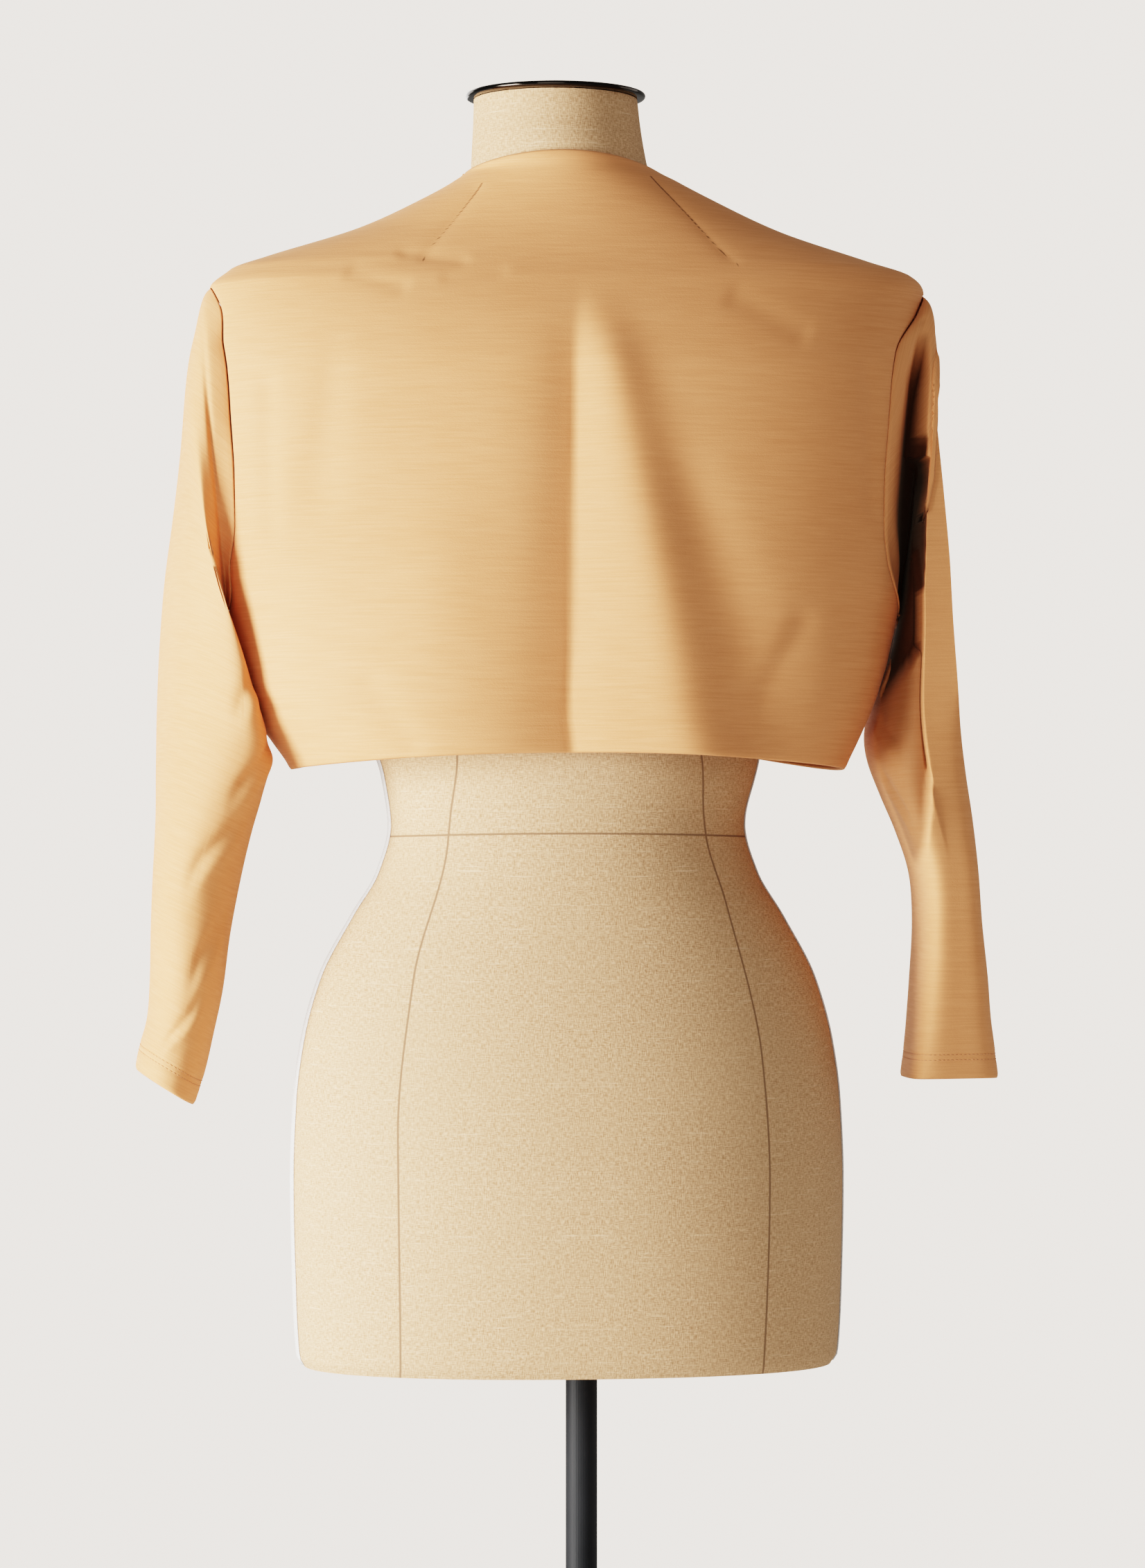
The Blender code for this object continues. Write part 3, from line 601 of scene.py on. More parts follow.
def make_back():
    height, half, beside = side_edge(1)
    share = np.linspace(-1.0, 1.0, 221)[None, :]
    turn = 0.5 * math.pi * share
    half = half + armhole_shift(height, 1) * np.sin(turn)
    across = half * np.sin(turn)
    row_share = (height - HEM_HEIGHT) / (NECK_EDGE - HEM_HEIGHT)
    rise = HEM_RISE_AT_CENTRE + (NECK_RISE_AT_CENTRE - HEM_RISE_AT_CENTRE) * row_share
    level = height + rise * np.cos(turn) ** 2
    points = body_points(JACKET, across, level, 1)
    points[..., 1] += fold_height(BACK_FOLDS, across, level) + SEAM_GAP / 2
    points[..., 1] -= pressed_valley(across, level)
    inward = grid_normals(points, False)
    if inward[60, 110, 1] > 0:
        inward = -inward
    from_side = half * (1 - np.abs(np.sin(turn)))
    depth = crease_depth(BACK_CREASES, across, level)
    depth += SEAM_ROLL * edge_ramp(from_side, ROLL_REACH) * beside
    depth += EDGE_ROLL * edge_ramp(level - level[:1], ROLL_REACH)
    depth += EDGE_ROLL * edge_ramp(level[-1:] - level, OPEN_EDGE_REACH)
    points += inward * depth[..., None]
    dart = np.full(across.shape, 1.0)
    for crease in BACK_CREASES[:2]:
        along, off = along_line(across, level, *crease[:4])
        off = np.where((along > 0.02) & (along < 0.98), np.abs(off), 1.0)
        dart = np.minimum(dart, off)
    piece = panel_piece("back_cloth", points, True, across, level, dart * MM, "jacket_back")


def make_front(side, label):
    height, half, beside = side_edge(-1)
    rows = len(height)
    number = np.interp(
        np.arange(rows), [0, 42, 152, rows - 1], [0.0, 5 / 23, 17 / 23, 1.0]
    )[:, None]
    share = np.linspace(1.0, 0.0, 71)[None, :]
    t = np.sin(0.5 * math.pi * share)
    across = EDGE["across"](number) + (half - EDGE["across"](number)) * t
    level = EDGE["height"](number) + (height - EDGE["height"](number)) * t
    points = body_points(JACKET, side * across, level, -1)
    points[..., 1] -= fold_height(FRONT_FOLDS, across, level) + SEAM_GAP / 2
    inward = grid_normals(points, False)
    if inward[60, 30, 1] < 0:
        inward = -inward
    around = arc_lengths(points, 1)
    depth = crease_depth(FRONT_CREASES, across, level)
    depth += SEAM_ROLL * edge_ramp(around, ROLL_REACH) * beside
    depth += EDGE_ROLL * edge_ramp(around[:, -1:] - around, OPEN_EDGE_REACH)
    up = arc_lengths(points, 0)
    depth += EDGE_ROLL * edge_ramp(up, ROLL_REACH)
    points += inward * depth[..., None]
    no_seam = np.full(across.shape, FAR_FROM_SEAM)
    name, node = f"front_cloth_{label}", f"jacket_front_{label}"
    piece = panel_piece(name, points, side > 0, across, level, no_seam, node)


# Sleeves


def rounded(value, power):
    return np.sign(value) * np.abs(value) ** (2 / power)


def ring_points(side, number, row, turn):
    outer = np.array([side * row.outer_x, 0.0, row.outer_z])
    inner = np.array([side * row.inner_x, 0.0, row.inner_z])
    middle = 0.5 * (outer + inner) + np.array([0.0, 0.5 * (row.back_y + row.front_y), 0.0])
    half_depth = 0.5 * (row.back_y - row.front_y)
    lower = float(smooth_step((number - 10) / 3))
    inner_power = RING_POWER + (INNER_CORNER_POWER[side] - RING_POWER) * lower
    power = np.where(np.cos(turn) > 0, OUTER_CORNER_POWER[side], inner_power)
    power = np.where(np.sin(turn) > 0, power, RING_POWER)
    outward = rounded(np.cos(turn), power)[:, None]
    backward = rounded(np.sin(turn), power)[:, None]
    sideways = np.array([side * row.twist, half_depth, 0.0])
    return middle + 0.5 * (outer - inner) * outward + sideways * backward


def armhole_points(side, turn, beyond):
    facing = np.where(np.sin(turn) >= 0, 1, -1)
    height = armhole_height(turn)
    across = armhole_across(height, facing)
    across = side * across + armhole_shift(height, facing)
    points = body_points(JACKET, across, height, facing)
    way = beyond - points
    way /= np.linalg.norm(way, axis=1, keepdims=True)
    set_back = SEAM_GAP / 2 + TOP_SET_BACK * np.maximum(np.cos(turn), 0.0) ** 4
    set_back = np.where(facing > 0, set_back, -FRONT_LAP)
    points += way * set_back[:, None]
    points[:, 0] += side * UNDERARM_EASE * np.maximum(-np.cos(turn), 0.0) ** 4
    return points


def through(rings, number):
    """Points along smooth curves that pass through the same corner of every ring."""
    last = len(rings) - 1
    i = np.clip(number.astype(int), 0, last - 1)
    t = (number - i)[:, None, None]
    p1, p2 = rings[i], rings[i + 1]
    p0, p3 = rings[np.maximum(i - 1, 0)], rings[np.minimum(i + 2, last)]
    start = np.where((i > 0)[:, None, None], 0.5 * (p2 - p0), p2 - p1)
    end = np.where((i < last - 1)[:, None, None], 0.5 * (p3 - p1), p2 - p1)
    a = 2 * t**3 - 3 * t**2 + 1
    b = t**3 - 2 * t**2 + t
    c = -2 * t**3 + 3 * t**2
    d = t**3 - t**2
    return a * p1 + b * start + c * p2 + d * end


def turned_apart(a, b):
    return (a - b + 180) % 360 - 180


def right_hollow(points, centre, turn):
    """(how far the right sleeve's back is drawn in, how much painted shade darkens that place's
    colour).
    """
    x, z = points[..., 0], points[..., 2]
    behind = smooth_step((points[..., 1] - centre[..., 1]) / 0.030)
    past_crest = smooth_step((-np.cos(turn) - CREST_SHARE) / CREST_RUN)[None, :]

    # The hollow slopes down to its outer edge, where the cloth turns back over a crisp crest
    inner, outer = PLEAT["inner_x"](z), PLEAT["outer_x"](z)
    inside = x - outer
    slope = smooth_step(((x - inner) / (outer - inner - 1e-6) + 0.35) / 1.15)
    crest = past_crest * smooth_step((inside + 0.014) / 0.004)
    drawn = slope * np.maximum(smooth_step((inside + WALL_START) / WALL_RUN), crest)
    dark = slope * np.maximum(smooth_step((inside + 0.0020) / 0.0007), crest)

    # The step down from the flat outer strip, with a painted shade that fades inward, upward and
    # downward
    inside_step = x - STEP["edge_x"](z)
    crest = past_crest * smooth_step((inside_step + 0.014) / 0.004)
    stepped = np.maximum(smooth_step((inside_step + 0.0010) / 0.0020), crest)
    dark_step = np.maximum(smooth_step((inside_step + 0.0022) / 0.0009), crest)
    dark_step = dark_step * (1 - 0.6 * smooth_step(inside_step / 0.022))
    dark_step = dark_step * smooth_step((z - 0.960) / 0.060) * smooth_step((1.190 - z) / 0.020)

    depth = PLEAT["depth"](z) * drawn + STEP["drop"](z) * stepped
    shade = np.maximum(PLEAT["depth"](z) / FULL_SHADE_DEPTH * dark, STEP_SHADE * dark_step)
    return depth * behind, np.clip(shade, 0.0, 1.0) * behind


def flat_strip(points, turn):
    """How far the strip beyond the step's edge is lifted to lie flat, out to its outer end."""
    x, z = points[..., 0], points[..., 2]
    beyond = STEP["edge_x"](z) - x
    level = STEP["flat_y"](z) - FLAT_SLOPE * np.maximum(beyond, 0.0)
    ends = smooth_step(np.sin(turn) / 0.30) * smooth_step(np.cos(turn) / 0.02 + 1.0)
    weight = STEP["flat"](z) * ends[None, :] * smooth_step((beyond + 0.0005) / 0.0010)
    return weight * (level - points[..., 1])


def turned_away(points, centre):
    """How far the lower right sleeve's outer side stands forward of its inner side."""
    grown = smooth_step((AWAY_FROM - points[..., 2]) / (AWAY_FROM - AWAY_FULL))
    return AWAY_SLOPE * grown * (centre[..., 0] - points[..., 0])


def sleeve_grid(side, table, dents, creases, number):
    """A sleeve's points in rows from the armhole to the cuff, finely spaced where its back turns."""
    close = np.array(CLOSE_DEGREES)
    close = np.radians(90 + np.concatenate([-close, close]))
    even = math.tau * np.arange(SLEEVE_SIDES) / SLEEVE_SIDES
    turn = np.sort(np.concatenate([even, close]))
    rings = [ring_points(side, place, row, turn) for place, row in enumerate(table, 1)]
    rings.insert(0, armhole_points(side, turn, rings[0]))
    points = through(np.stack(rings), number)
    inward = grid_normals(points, True)
    centre = points.mean(axis=1, keepdims=True)
    if ((centre - points) * inward).sum() < 0:
        inward = -inward

    degrees = np.degrees(turn)[None, :]
    ring = number[:, None]
    depth = np.zeros(points.shape[:2])
    for dent in dents:
        around = turned_apart(degrees, dent.turn) / dent.degrees_wide
        depth += dent.depth * np.exp(-(((ring - dent.ring) / dent.rings_wide) ** 2) - around**2)
    for c in creases:
        share, off = along_line(
            turned_apart(degrees, c.turn_a) * METRES_PER_DEGREE,
            ring * METRES_PER_RING,
            0.0,
            c.ring_a * METRES_PER_RING,
            turned_apart(c.turn_b, c.turn_a) * METRES_PER_DEGREE,
            c.ring_b * METRES_PER_RING,
        )
        ends = smooth_step(share / 0.3) * smooth_step((1 - share) / 0.3)
        trough = np.exp(-((off / c.width) ** 2))
        ridge = np.exp(-(((off - 1.6 * c.width) / (1.1 * c.width)) ** 2))
        depth += c.depth * ends * (trough - 0.6 * ridge)

    length = arc_lengths(points, 0)
    from_cuff = length[-1:] - length
    depth += SEAM_ROLL * edge_ramp(length, ROLL_REACH)
    depth += EDGE_ROLL * edge_ramp(from_cuff, ROLL_REACH)
    for lift in COVERSTITCH_LIFTS:
        depth += STITCH_PULL * np.exp(-(((from_cuff - lift) / STITCH_PULL_REACH) ** 2))
    depth *= smooth_step(length / 0.004 + 0.4)
    points = points + inward * depth[..., None]

    shade = np.zeros(points.shape[:2])
    if side < 0:
        drawn, shade = right_hollow(points, centre, turn)
        clear_of_seam = smooth_step(length / 0.012)
        shade = shade * clear_of_seam
        points[..., 1] += flat_strip(points, turn) * clear_of_seam
        points[..., 1] -= drawn * clear_of_seam
        points[..., 1] -= turned_away(points, centre)
    return points, from_cuff, inward, shade


def make_sleeve(side, label, table, dents, creases):
    near_seam = [0.0, 0.1, 0.2, 0.32, 0.45, 0.6, 0.8]
    along_arm = np.arange(1.0, 17.0, 1 / 8)
    near_cuff = np.arange(17.0, 19.0, 1 / 16)
    number = np.unique(np.concatenate([near_seam, along_arm, near_cuff, [18.96, 19.0]]))
    points, from_cuff, inward, shade = sleeve_grid(side, table, dents, creases, number)
    weave = np.stack([points[..., 0], points[..., 1], -from_cuff], axis=-1)
    no_seam = np.full(from_cuff.shape, FAR_FROM_SEAM)
    attributes = {"weave": weave, "seam": no_seam, "shade": shade}
    name = f"sleeve_cloth_{label}"
    piece = grid_piece(name, points, True, side > 0, SLEEVE_WALL, attributes)
    piece.data.materials.append(MATERIALS["camel_cloth"])
    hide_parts(f"sleeve_{label}")
    threads = make_coverstitch(label, points, from_cuff, inward)


def make_coverstitch(label, points, from_cuff, inward):
    """Two level rows of short raised stitches round a cuff."""
    verts, faces = [], []
    for lift in COVERSTITCH_LIFTS:
        line = []
        for k in range(points.shape[1]):
            distance = from_cuff[:, k][::-1]
            at = [np.interp(lift, distance, points[:, k, axis][::-1]) for axis in range(3)]
            out = [np.interp(lift, distance, -inward[:, k, axis][::-1]) for axis in range(3)]
            line.append((np.array(at), np.array(out)))
        places = np.array([p for p, _ in line] + [line[0][0]])
        normals = np.array([n for _, n in line] + [line[0][1]])
        run = np.concatenate([[0.0], np.cumsum(np.linalg.norm(np.diff(places, axis=0), axis=1))])
        count = round(run[-1] / STITCH_PITCH)
        for stitch in range(count):
            start = run[-1] * stitch / count
            stations = start + STITCH_PITCH * np.array(STITCH_STATIONS)
            where = np.stack([np.interp(stations, run, places[:, a]) for a in range(3)], axis=1)
            up = np.stack([np.interp(stations, run, normals[:, a]) for a in range(3)], axis=1)
            way = where[-1] - where[0]
            way /= np.linalg.norm(way)
            base = len(verts)
            for place, normal, swell in zip(where, up, STITCH_SWELL):
                normal = normal / np.linalg.norm(normal)
                cross = np.cross(way, normal)
                for corner in range(STITCH_CORNERS):
                    angle = math.tau * corner / STITCH_CORNERS
                    ray = math.cos(angle) * normal + math.sin(angle) * cross
                    raised = STITCH_LIFT * normal + STITCH_RADIUS * ray
                    verts.append((place + swell * raised).tolist())
            last_ring = base + STITCH_CORNERS * (len(STITCH_SWELL) - 1)
            for ring_start in range(base, last_ring, STITCH_CORNERS):
                for corner in range(STITCH_CORNERS):
                    a = ring_start + corner
                    b = ring_start + (corner + 1) % STITCH_CORNERS
                    faces.append([a, b, b + STITCH_CORNERS, a + STITCH_CORNERS])
            faces.append([base + corner for corner in reversed(range(STITCH_CORNERS))])
            faces.append([last_ring + corner for corner in range(STITCH_CORNERS)])
    mesh = bpy.data.meshes.new(f"coverstitch_{label}")
    mesh.from_pydata(verts, [], faces)
    mesh.shade_smooth()
    piece = scene_object(mesh.name, mesh)
    mesh.materials.append(MATERIALS["thread"])
    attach(piece, "root")
    return piece


# The dress form


def torso_grid(heights, sides):
    turn = math.tau * np.arange(sides) / sides
    half = TORSO["half_width"](heights)[:, None]
    across = half * np.sin(turn)[None, :]
    facing = np.where(np.cos(turn) > 0, -1, 1)[None, :]
    return body_points(TORSO, across, np.broadcast_to(heights[:, None], across.shape), facing), across


def make_form():
    heights = np.concatenate(
        [
            [0.7000, 0.7004, 0.7012, 0.7024, 0.7040],
            np.linspace(0.706, 1.380, 190),
            np.linspace(1.3825, 1.512, 62),
            [1.5138, NECK_TOP],
        ]
    )
    points, across = torso_grid(heights, FORM_SIDES)
    height = heights[:, None]
    behind = np.cos(math.tau * np.arange(FORM_SIDES) / FORM_SIDES)[None, :] < 0
    attributes = {}
    for side, label, seam in ((1, "left", LEFT_BACK_SEAM), (-1, "right", RIGHT_BACK_SEAM)):
        back = across - curves_of(seam)["across"](height)
        front = across - side * (0.075 + 0.25 * np.maximum(0.95 - height, 0.0))
        line = MM * np.where(behind, back, front)
        attributes[f"seam_{label}"] = np.where(height > SHOULDER_POINT, FAR_FROM_SEAM, line)
    waist = height - WAIST_SEAM_HEIGHT - 0.004 * np.cos(across / 0.12)
    attributes["seam_waist"] = MM * waist
    around = arc_lengths(points, 1)
    start = len(points[0]) // 2
    around = np.abs(around - around[:, start : start + 1])
    attributes["weave"] = np.stack([around, 0.0 * around, height + 0.0 * around], axis=-1)
    piece = grid_piece("form_linen", points, closed=True, attributes=attributes)
    mesh = piece.data
    cage = bmesh.new()
    cage.from_mesh(mesh)
    bmesh.ops.holes_fill(cage, edges=[e for e in cage.edges if e.is_boundary], sides=0)
    bmesh.ops.recalc_face_normals(cage, faces=cage.faces)
    cage.to_mesh(mesh)
    cage.free()
    mesh.set_sharp_from_angle(angle=math.radians(50))
    mesh.materials.append(MATERIALS["beige_linen"])
    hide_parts("form_torso")


def make_tapes():
    """The pale tape down each side of the form, over its side seam."""
    heights = np.linspace(0.7015, 1.268, 150)
    half_turn = 0.5 * TAPE_WIDTH / HIP_DEPTH
    for side, label in ((1, "left"), (-1, "right")):
        columns = []
        for share in (-1.0, -1.0, -0.94, -0.5, 0.0, 0.5, 0.94, 1.0, 1.0):
            turn = half_turn * share
            across = side * TORSO["half_width"](heights) * math.cos(turn)
            points = body_points(TORSO, across, heights, 1 if turn > 0 else -1)
            lift = TAPE_LIFT if abs(share) < 0.97 else TAPE_EDGE_LIFT
            out = np.array([side * math.cos(turn), 0.6 * math.sin(turn), 0.0])
            columns.append(points + out * lift)
        tuck = np.array([side * TAPE_EDGE_TUCK, 0.0, 0.0])
        columns[0] = columns[0] - tuck
        columns[-1] = columns[-1] - tuck
        grid = np.stack(columns, axis=1)
        weave = np.stack([grid[..., 1], 0.0 * grid[..., 1], grid[..., 2]], axis=-1)
        piece = grid_piece(
            f"side_tape_{label}", grid, flip=side < 0, wall=0.0005, attributes={"weave": weave}
        )
        piece.data.materials.append(MATERIALS["pale_grey_tape"])
        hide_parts(f"form_tape_{label}")


def turned_piece(name, profile, centre, sides, node, slot):
    """A closed piece of revolution through (radius, height) pairs from the top to the foot."""
    turn = math.tau * np.arange(sides) / sides
    rows = [
        np.stack([r * np.cos(turn), r * np.sin(turn), np.full(sides, h)], axis=-1)
        for r, h in profile
    ]
    points = np.stack(rows) + np.array(centre)
    piece = grid_piece(name, points, closed=True, flip=True)
    mesh = piece.data
    top = list(range(sides))
    foot = list(range(sides * (len(rows) - 1), sides * len(rows)))
    cage = bmesh.new()
    cage.from_mesh(mesh)
    cage.verts.ensure_lookup_table()
    cage.faces.new([cage.verts[i] for i in top])
    cage.faces.new([cage.verts[i] for i in foot])
    bmesh.ops.recalc_face_normals(cage, faces=cage.faces)
    cage.to_mesh(mesh)
    cage.free()
    mesh.shade_smooth()
    mesh.set_sharp_from_angle(angle=math.radians(40))
    mesh.materials.append(MATERIALS[slot])
    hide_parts(node)


def bead(radius, height, bend, low, high, steps):
    """Profile points round a bend of this radius, centred on (radius, height)."""
    angles = np.radians(np.linspace(low, high, steps))
    return [(radius + bend * math.cos(a), height + bend * math.sin(a)) for a in angles]


def make_cap():
    foot = NECK_TOP + 0.0003
    centre = (float(LEAN["centre_x"](NECK_TOP)), float(TORSO["seam_y"](NECK_TOP)), 0.0)
    profile = [(0.006, foot + 0.00520), (0.030, foot + 0.00490), (0.050, foot + 0.00430)]
    profile += bead(0.0567, foot + 0.0022, 0.0016, 80, -80, 9)
    profile += [(0.0555, foot + 0.0002), (0.0530, foot)]
    turned_piece("neck_cap", profile, centre, 128, "form_neck_cap", "polished_chrome")


def make_base():
    profile = [(0.004, 0.0100), (0.100, 0.0100), (0.184, 0.0100)]
    profile += bead(0.1860, 0.0060, 0.0040, 90, 0, 7)
    profile += [(0.1900, 0.0010), (0.1892, 0.0002), (0.1880, 0.0)]
    turned_piece("base_plate", profile, (0.0, 0.0, 0.0), 160, "stand_base", "black_paint")


# Materials

MATERIALS = {}


def new_material(name, colour, roughness):
    material = bpy.data.materials.new(name)
    MATERIALS[name] = material
    material.use_nodes = True
    shader = material.node_tree.nodes["Principled BSDF"]
    shader.inputs["Base Color"].default_value = (*colour, 1.0)
    shader.inputs["Roughness"].default_value = roughness
    return material, shader


def node(material, kind, **settings):
    made = material.node_tree.nodes.new(kind)
    for key, value in settings.items():
        setattr(made, key, value)
    return made


def link(material, source, target):
    material.node_tree.links.new(source, target)


def noise(material, attribute, pitch, detail, roughness=0.55):
    """Noise over the named attribute's vector, of this pitch along each of its axes."""
    source = node(material, "ShaderNodeAttribute", attribute_name=attribute)
    mapping = node(material, "ShaderNodeMapping")
    mapping.inputs["Scale"].default_value = pitch
    link(material, source.outputs["Vector"], mapping.inputs["Vector"])
    made = node(material, "ShaderNodeTexNoise")
    made.inputs["Scale"].default_value = 1.0
    made.inputs["Detail"].default_value = detail
    made.inputs["Roughness"].default_value = roughness
    link(material, mapping.outputs["Vector"], made.inputs["Vector"])
    return made.outputs["Fac"]


def spread(material, value, low, high, to_low, to_high):
    """The value's run from low to high, laid over the run from to_low to to_high."""
    made = node(material, "ShaderNodeMapRange")
    ends = {"From Min": low, "From Max": high, "To Min": to_low, "To Max": to_high}
    for key, number in ends.items():
        made.inputs[key].default_value = number
    link(material, value, made.inputs["Value"])
    return made.outputs["Result"]


def blend_colours(material, share, first, second):
    made = node(material, "ShaderNodeMix", data_type="RGBA")
    for socket, value in (("A", first), ("B", second)):
        target = [s for s in made.inputs if s.name == socket and s.type == "RGBA"][0]
        if isinstance(value, tuple):
            target.default_value = (*value, 1.0)
        else:
            link(material, value, target)
    factor = [s for s in made.inputs if s.name == "Factor" and s.type == "VALUE"][0]
    link(material, share, factor)
    return [s for s in made.outputs if s.type == "RGBA"][0]


def tinted(material, base, tint, value, low, high, most=1.0):
    """The base colour, taking on the tint as the value goes from low to high."""
    share = spread(material, value, low, high, 0.0, most)
    return blend_colours(material, share, base, tint)


def sums(material, kind, first, second):
    made = node(material, "ShaderNodeMath", operation=kind)
    for socket, value in zip(made.inputs, (first, second)):
        if isinstance(value, float):
            socket.default_value = value
        else:
            link(material, value, socket)
    return made.outputs["Value"]


def bump(material, shader, height, strength, distance):
    made = node(material, "ShaderNodeBump")
    made.inputs["Strength"].default_value = strength
    made.inputs["Distance"].default_value = distance
    link(material, height, made.inputs["Height"])
    link(material, made.outputs["Normal"], shader.inputs["Normal"])


def seam_line(material, width, attribute="seam"):
    """1 on a sewn line and 0 away from it."""
    source = node(material, "ShaderNodeAttribute", attribute_name=attribute)
    distance = sums(material, "ABSOLUTE", source.outputs["Fac"], 0.0)
    return spread(material, distance, 0.35 * width, width, 1.0, 0.0)


def make_camel():
    material, shader = new_material("camel_cloth", (0.72, 0.32, 0.155), 0.82)
    shader.inputs["Sheen Weight"].default_value = 0.12
    shader.inputs["Sheen Roughness"].default_value = 0.45
    shader.inputs["Sheen Tint"].default_value = (1.0, 0.78, 0.56, 1.0)
    shader.inputs["Specular IOR Level"].default_value = 0.22
    slubs = noise(material, "weave", (38.0, 38.0, 1150.0), 2.0, 0.5)
    fine = noise(material, "weave", (900.0, 900.0, 1500.0), 2.0, 0.6)
    clouds = noise(material, "weave", (9.0, 9.0, 11.0), 3.0, 0.5)
    mixed = tinted(material, (0.660, 0.275, 0.118), (0.760, 0.333, 0.152), slubs, 0.30, 0.70)
    mixed = tinted(material, mixed, (0.60, 0.240, 0.100), fine, 0.25, 0.75, 0.35)
    mixed = tinted(material, mixed, (0.79, 0.362, 0.173), clouds, 0.35, 0.70, 0.22)
    # Painted shade: the right sleeve's hollow and step are darkened towards deep brown by the shade
    # attribute
    shade = node(material, "ShaderNodeAttribute", attribute_name="shade")
    mixed = blend_colours(material, shade.outputs["Fac"], mixed, (0.085, 0.030, 0.012))
    mixed = blend_colours(material, seam_line(material, 0.75), mixed, (0.22, 0.095, 0.040))
    link(material, mixed, shader.inputs["Base Color"])
    rough = spread(material, slubs, 0.2, 0.8, 0.90, 0.74)
    link(material, rough, shader.inputs["Roughness"])
    relief = sums(material, "ADD", sums(material, "MULTIPLY", slubs, 0.6), fine)
    bump(material, shader, relief, 0.22, 0.0004)


def make_linen():
    material, shader = new_material("beige_linen", (0.62, 0.40, 0.24), 0.88)
    shader.inputs["Specular IOR Level"].default_value = 0.25
    weft = noise(material, "weave", (330.0, 1.0, 1500.0), 1.0, 0.4)
    warp = noise(material, "weave", (1500.0, 1.0, 330.0), 1.0, 0.4)
    slubs = noise(material, "weave", (34.0, 1.0, 800.0), 2.0, 0.55)
    clouds = noise(material, "weave", (14.0, 1.0, 14.0), 3.0, 0.5)
    threads = sums(material, "MULTIPLY", sums(material, "ADD", weft, warp), 0.5)
    mixed = tinted(material, (0.39, 0.222, 0.115), (0.69, 0.44, 0.262), threads, 0.36, 0.64)
    mixed = tinted(material, mixed, (0.80, 0.56, 0.36), slubs, 0.60, 0.78, 0.75)
    mixed = tinted(material, mixed, (0.54, 0.34, 0.19), clouds, 0.35, 0.70, 0.25)
    for label in ("left", "right", "waist"):
        line = seam_line(material, 0.9, f"seam_{label}")
        mixed = blend_colours(material, line, mixed, (0.24, 0.14, 0.08))
    link(material, mixed, shader.inputs["Base Color"])
    bump(material, shader, threads, 0.5, 0.0006)


def make_tape_material():
    material, shader = new_material("pale_grey_tape", (0.62, 0.61, 0.59), 0.8)
    rib = noise(material, "weave", (700.0, 1.0, 1600.0), 1.0, 0.5)
    mixed = tinted(material, (0.52, 0.51, 0.49), (0.70, 0.69, 0.67), rib, 0.3, 0.7)
    link(material, mixed, shader.inputs["Base Color"])
    bump(material, shader, rib, 0.3, 0.0003)


def make_thread():
    material, shader = new_material("thread", (0.58, 0.26, 0.12), 0.7)
    twist = noise(material, "position", (2600.0, 2600.0, 900.0), 1.0)
    mixed = tinted(material, (0.46, 0.19, 0.085), (0.66, 0.30, 0.145), twist, 0.3, 0.7)
    link(material, mixed, shader.inputs["Base Color"])


def make_chrome():
    material, shader = new_material("polished_chrome", (0.040, 0.034, 0.030), 0.10)
    shader.inputs["Metallic"].default_value = 1.0
    wear = noise(material, "position", (60.0, 60.0, 900.0), 2.0)
    link(material, spread(material, wear, 0.3, 0.8, 0.07, 0.22), shader.inputs["Roughness"])
    mixed = tinted(material, (0.048, 0.041, 0.036), (0.030, 0.026, 0.022), wear, 0.4, 0.8)
    link(material, mixed, shader.inputs["Base Color"])


def make_black():
    material, shader = new_material("black_paint", (0.014, 0.015, 0.017), 0.36)
    shader.inputs["Specular IOR Level"].default_value = 0.22
    speck = noise(material, "position", (500.0, 500.0, 500.0), 2.0)
    wear = noise(material, "position", (18.0, 18.0, 9.0), 3.0)
    link(material, spread(material, wear, 0.3, 0.7, 0.50, 0.66), shader.inputs["Roughness"])
    mixed = tinted(material, (0.012, 0.013, 0.015), (0.022, 0.023, 0.026), wear, 0.4, 0.75)
    link(material, mixed, shader.inputs["Base Color"])
    bump(material, shader, speck, 0.10, 0.0002)


# Surroundings


def make_floor():
    """A pale round floor that fades out into the pale surroundings."""
    turn = math.tau * np.arange(96) / 96
    level_circle = np.stack([np.cos(turn), np.sin(turn), 0 * turn], axis=-1)
    points = np.stack([radius * level_circle for radius in (0.01, 1.2, 2.4, 3.5)])
    index = np.arange(points[..., 0].size).reshape(-1, len(turn))
    right = np.roll(index, -1, axis=1)
    faces = np.stack([c.ravel() for c in (index[:-1], index[1:], right[1:], right[:-1])], axis=1)
    mesh = bpy.data.meshes.new("floor")
    mesh.from_pydata(points.reshape(-1, 3).tolist(), [], faces.tolist())
    material, shader = new_material("pale_floor", (0.78, 0.77, 0.75), 0.7)
    place = node(material, "ShaderNodeTexCoord")
    length = node(material, "ShaderNodeVectorMath", operation="LENGTH")
    link(material, place.outputs["Object"], length.inputs[0])
    fade = spread(material, length.outputs["Value"], 1.4, 3.4, 1.0, 0.0)
    link(material, fade, shader.inputs["Alpha"])
    mesh.materials.append(material)
    floor = scene_object("floor", mesh)


def area_light(name, place, target, size, power, colour):
    data = bpy.data.lights.new(name, "AREA")
    data.shape = "RECTANGLE"
    data.size, data.size_y = size
    data.energy = power
    data.color = colour
    lamp = scene_object(name, data)
    lamp.location = place
    way = Vector(target) - Vector(place)
    lamp.rotation_euler = way.to_track_quat("-Z", "Y").to_euler()
    lamp.visible_camera = False


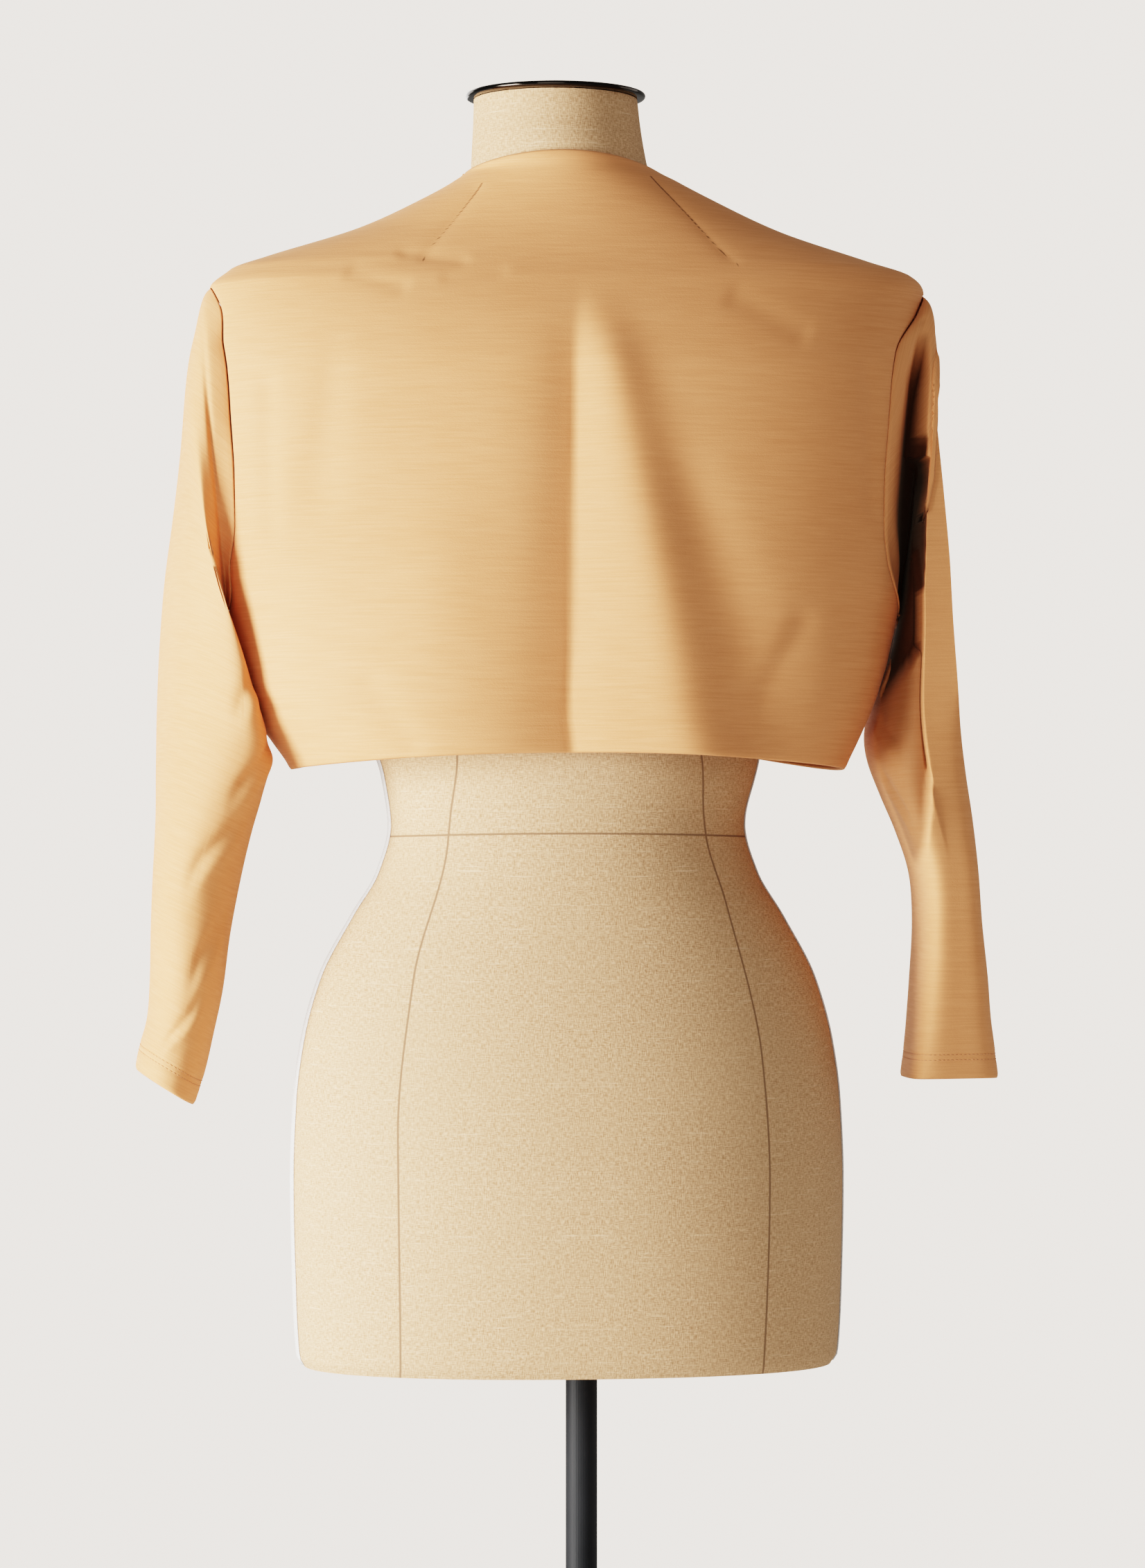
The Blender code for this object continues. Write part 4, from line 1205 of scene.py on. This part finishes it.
def make_world():
    world = bpy.data.worlds.new("pale_surroundings")
    bpy.context.scene.world = world
    world.use_nodes = True
    nodes, links = world.node_tree.nodes, world.node_tree.links
    sky = nodes["Background"]
    sky.inputs["Color"].default_value = (1.0, 0.97, 0.93, 1.0)
    sky.inputs["Strength"].default_value = 0.20
    seen = nodes.new("ShaderNodeBackground")
    seen.inputs["Color"].default_value = (0.970, 0.880, 0.790, 1.0)
    seen.inputs["Strength"].default_value = 1.62
    path = nodes.new("ShaderNodeLightPath")
    mix = nodes.new("ShaderNodeMixShader")
    links.new(path.outputs["Is Camera Ray"], mix.inputs["Fac"])
    links.new(sky.outputs["Background"], mix.inputs[1])
    links.new(seen.outputs["Background"], mix.inputs[2])
    links.new(mix.outputs["Shader"], nodes["World Output"].inputs["Surface"])


def make_lights():
    middle = (0.0, 0.0, 1.15)
    area_light("key", (2.5, 1.00, 1.02), middle, (1.3, 1.9), 208.0, (1.0, 0.975, 0.94))
    area_light("front_fill", (0.8, 3.9, 1.5), middle, (2.4, 2.2), 39.0, (1.0, 0.97, 0.93))
    area_light("far_side", (1.2, -2.8, 1.9), middle, (2.4, 2.4), 40.0, (1.0, 0.97, 0.94))
    area_light("side_fill", (-2.8, -0.8, 1.6), middle, (2.0, 2.4), 17.0, (1.0, 0.97, 0.94))


def make_camera():
    data = bpy.data.cameras.new("camera")
    data.sensor_fit = "VERTICAL"
    data.sensor_height = 36.0
    view_degrees, rise_degrees = 18.46, 0.76
    data.lens = 0.5 * data.sensor_height / math.tan(math.radians(view_degrees) / 2)
    data.clip_start = 0.1
    camera = scene_object("camera", data)
    camera.location = (0.2998, 3.0559, 1.03)
    way = Vector((-0.0958, -0.9954, math.tan(math.radians(rise_degrees))))
    camera.rotation_euler = way.to_track_quat("-Z", "Y").to_euler()
    bpy.context.scene.camera = camera


bpy.context.scene.view_settings.view_transform = "Filmic"
bpy.context.scene.view_settings.look = "High Contrast"

for make in (
    make_camel, make_linen, make_tape_material, make_thread, make_chrome, make_black,
    make_camera, make_world, make_lights, make_floor,
    make_form, make_tapes, make_cap, make_base, make_back,
):
    make()
make_front(1, "left")
make_front(-1, "right")
make_sleeve(1, "left", LEFT_RINGS, LEFT_DENTS, LEFT_CREASES)
make_sleeve(-1, "right", RIGHT_RINGS, RIGHT_DENTS, RIGHT_CREASES)

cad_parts["stand_pole"].material_slots[0].material = MATERIALS["black_paint"]
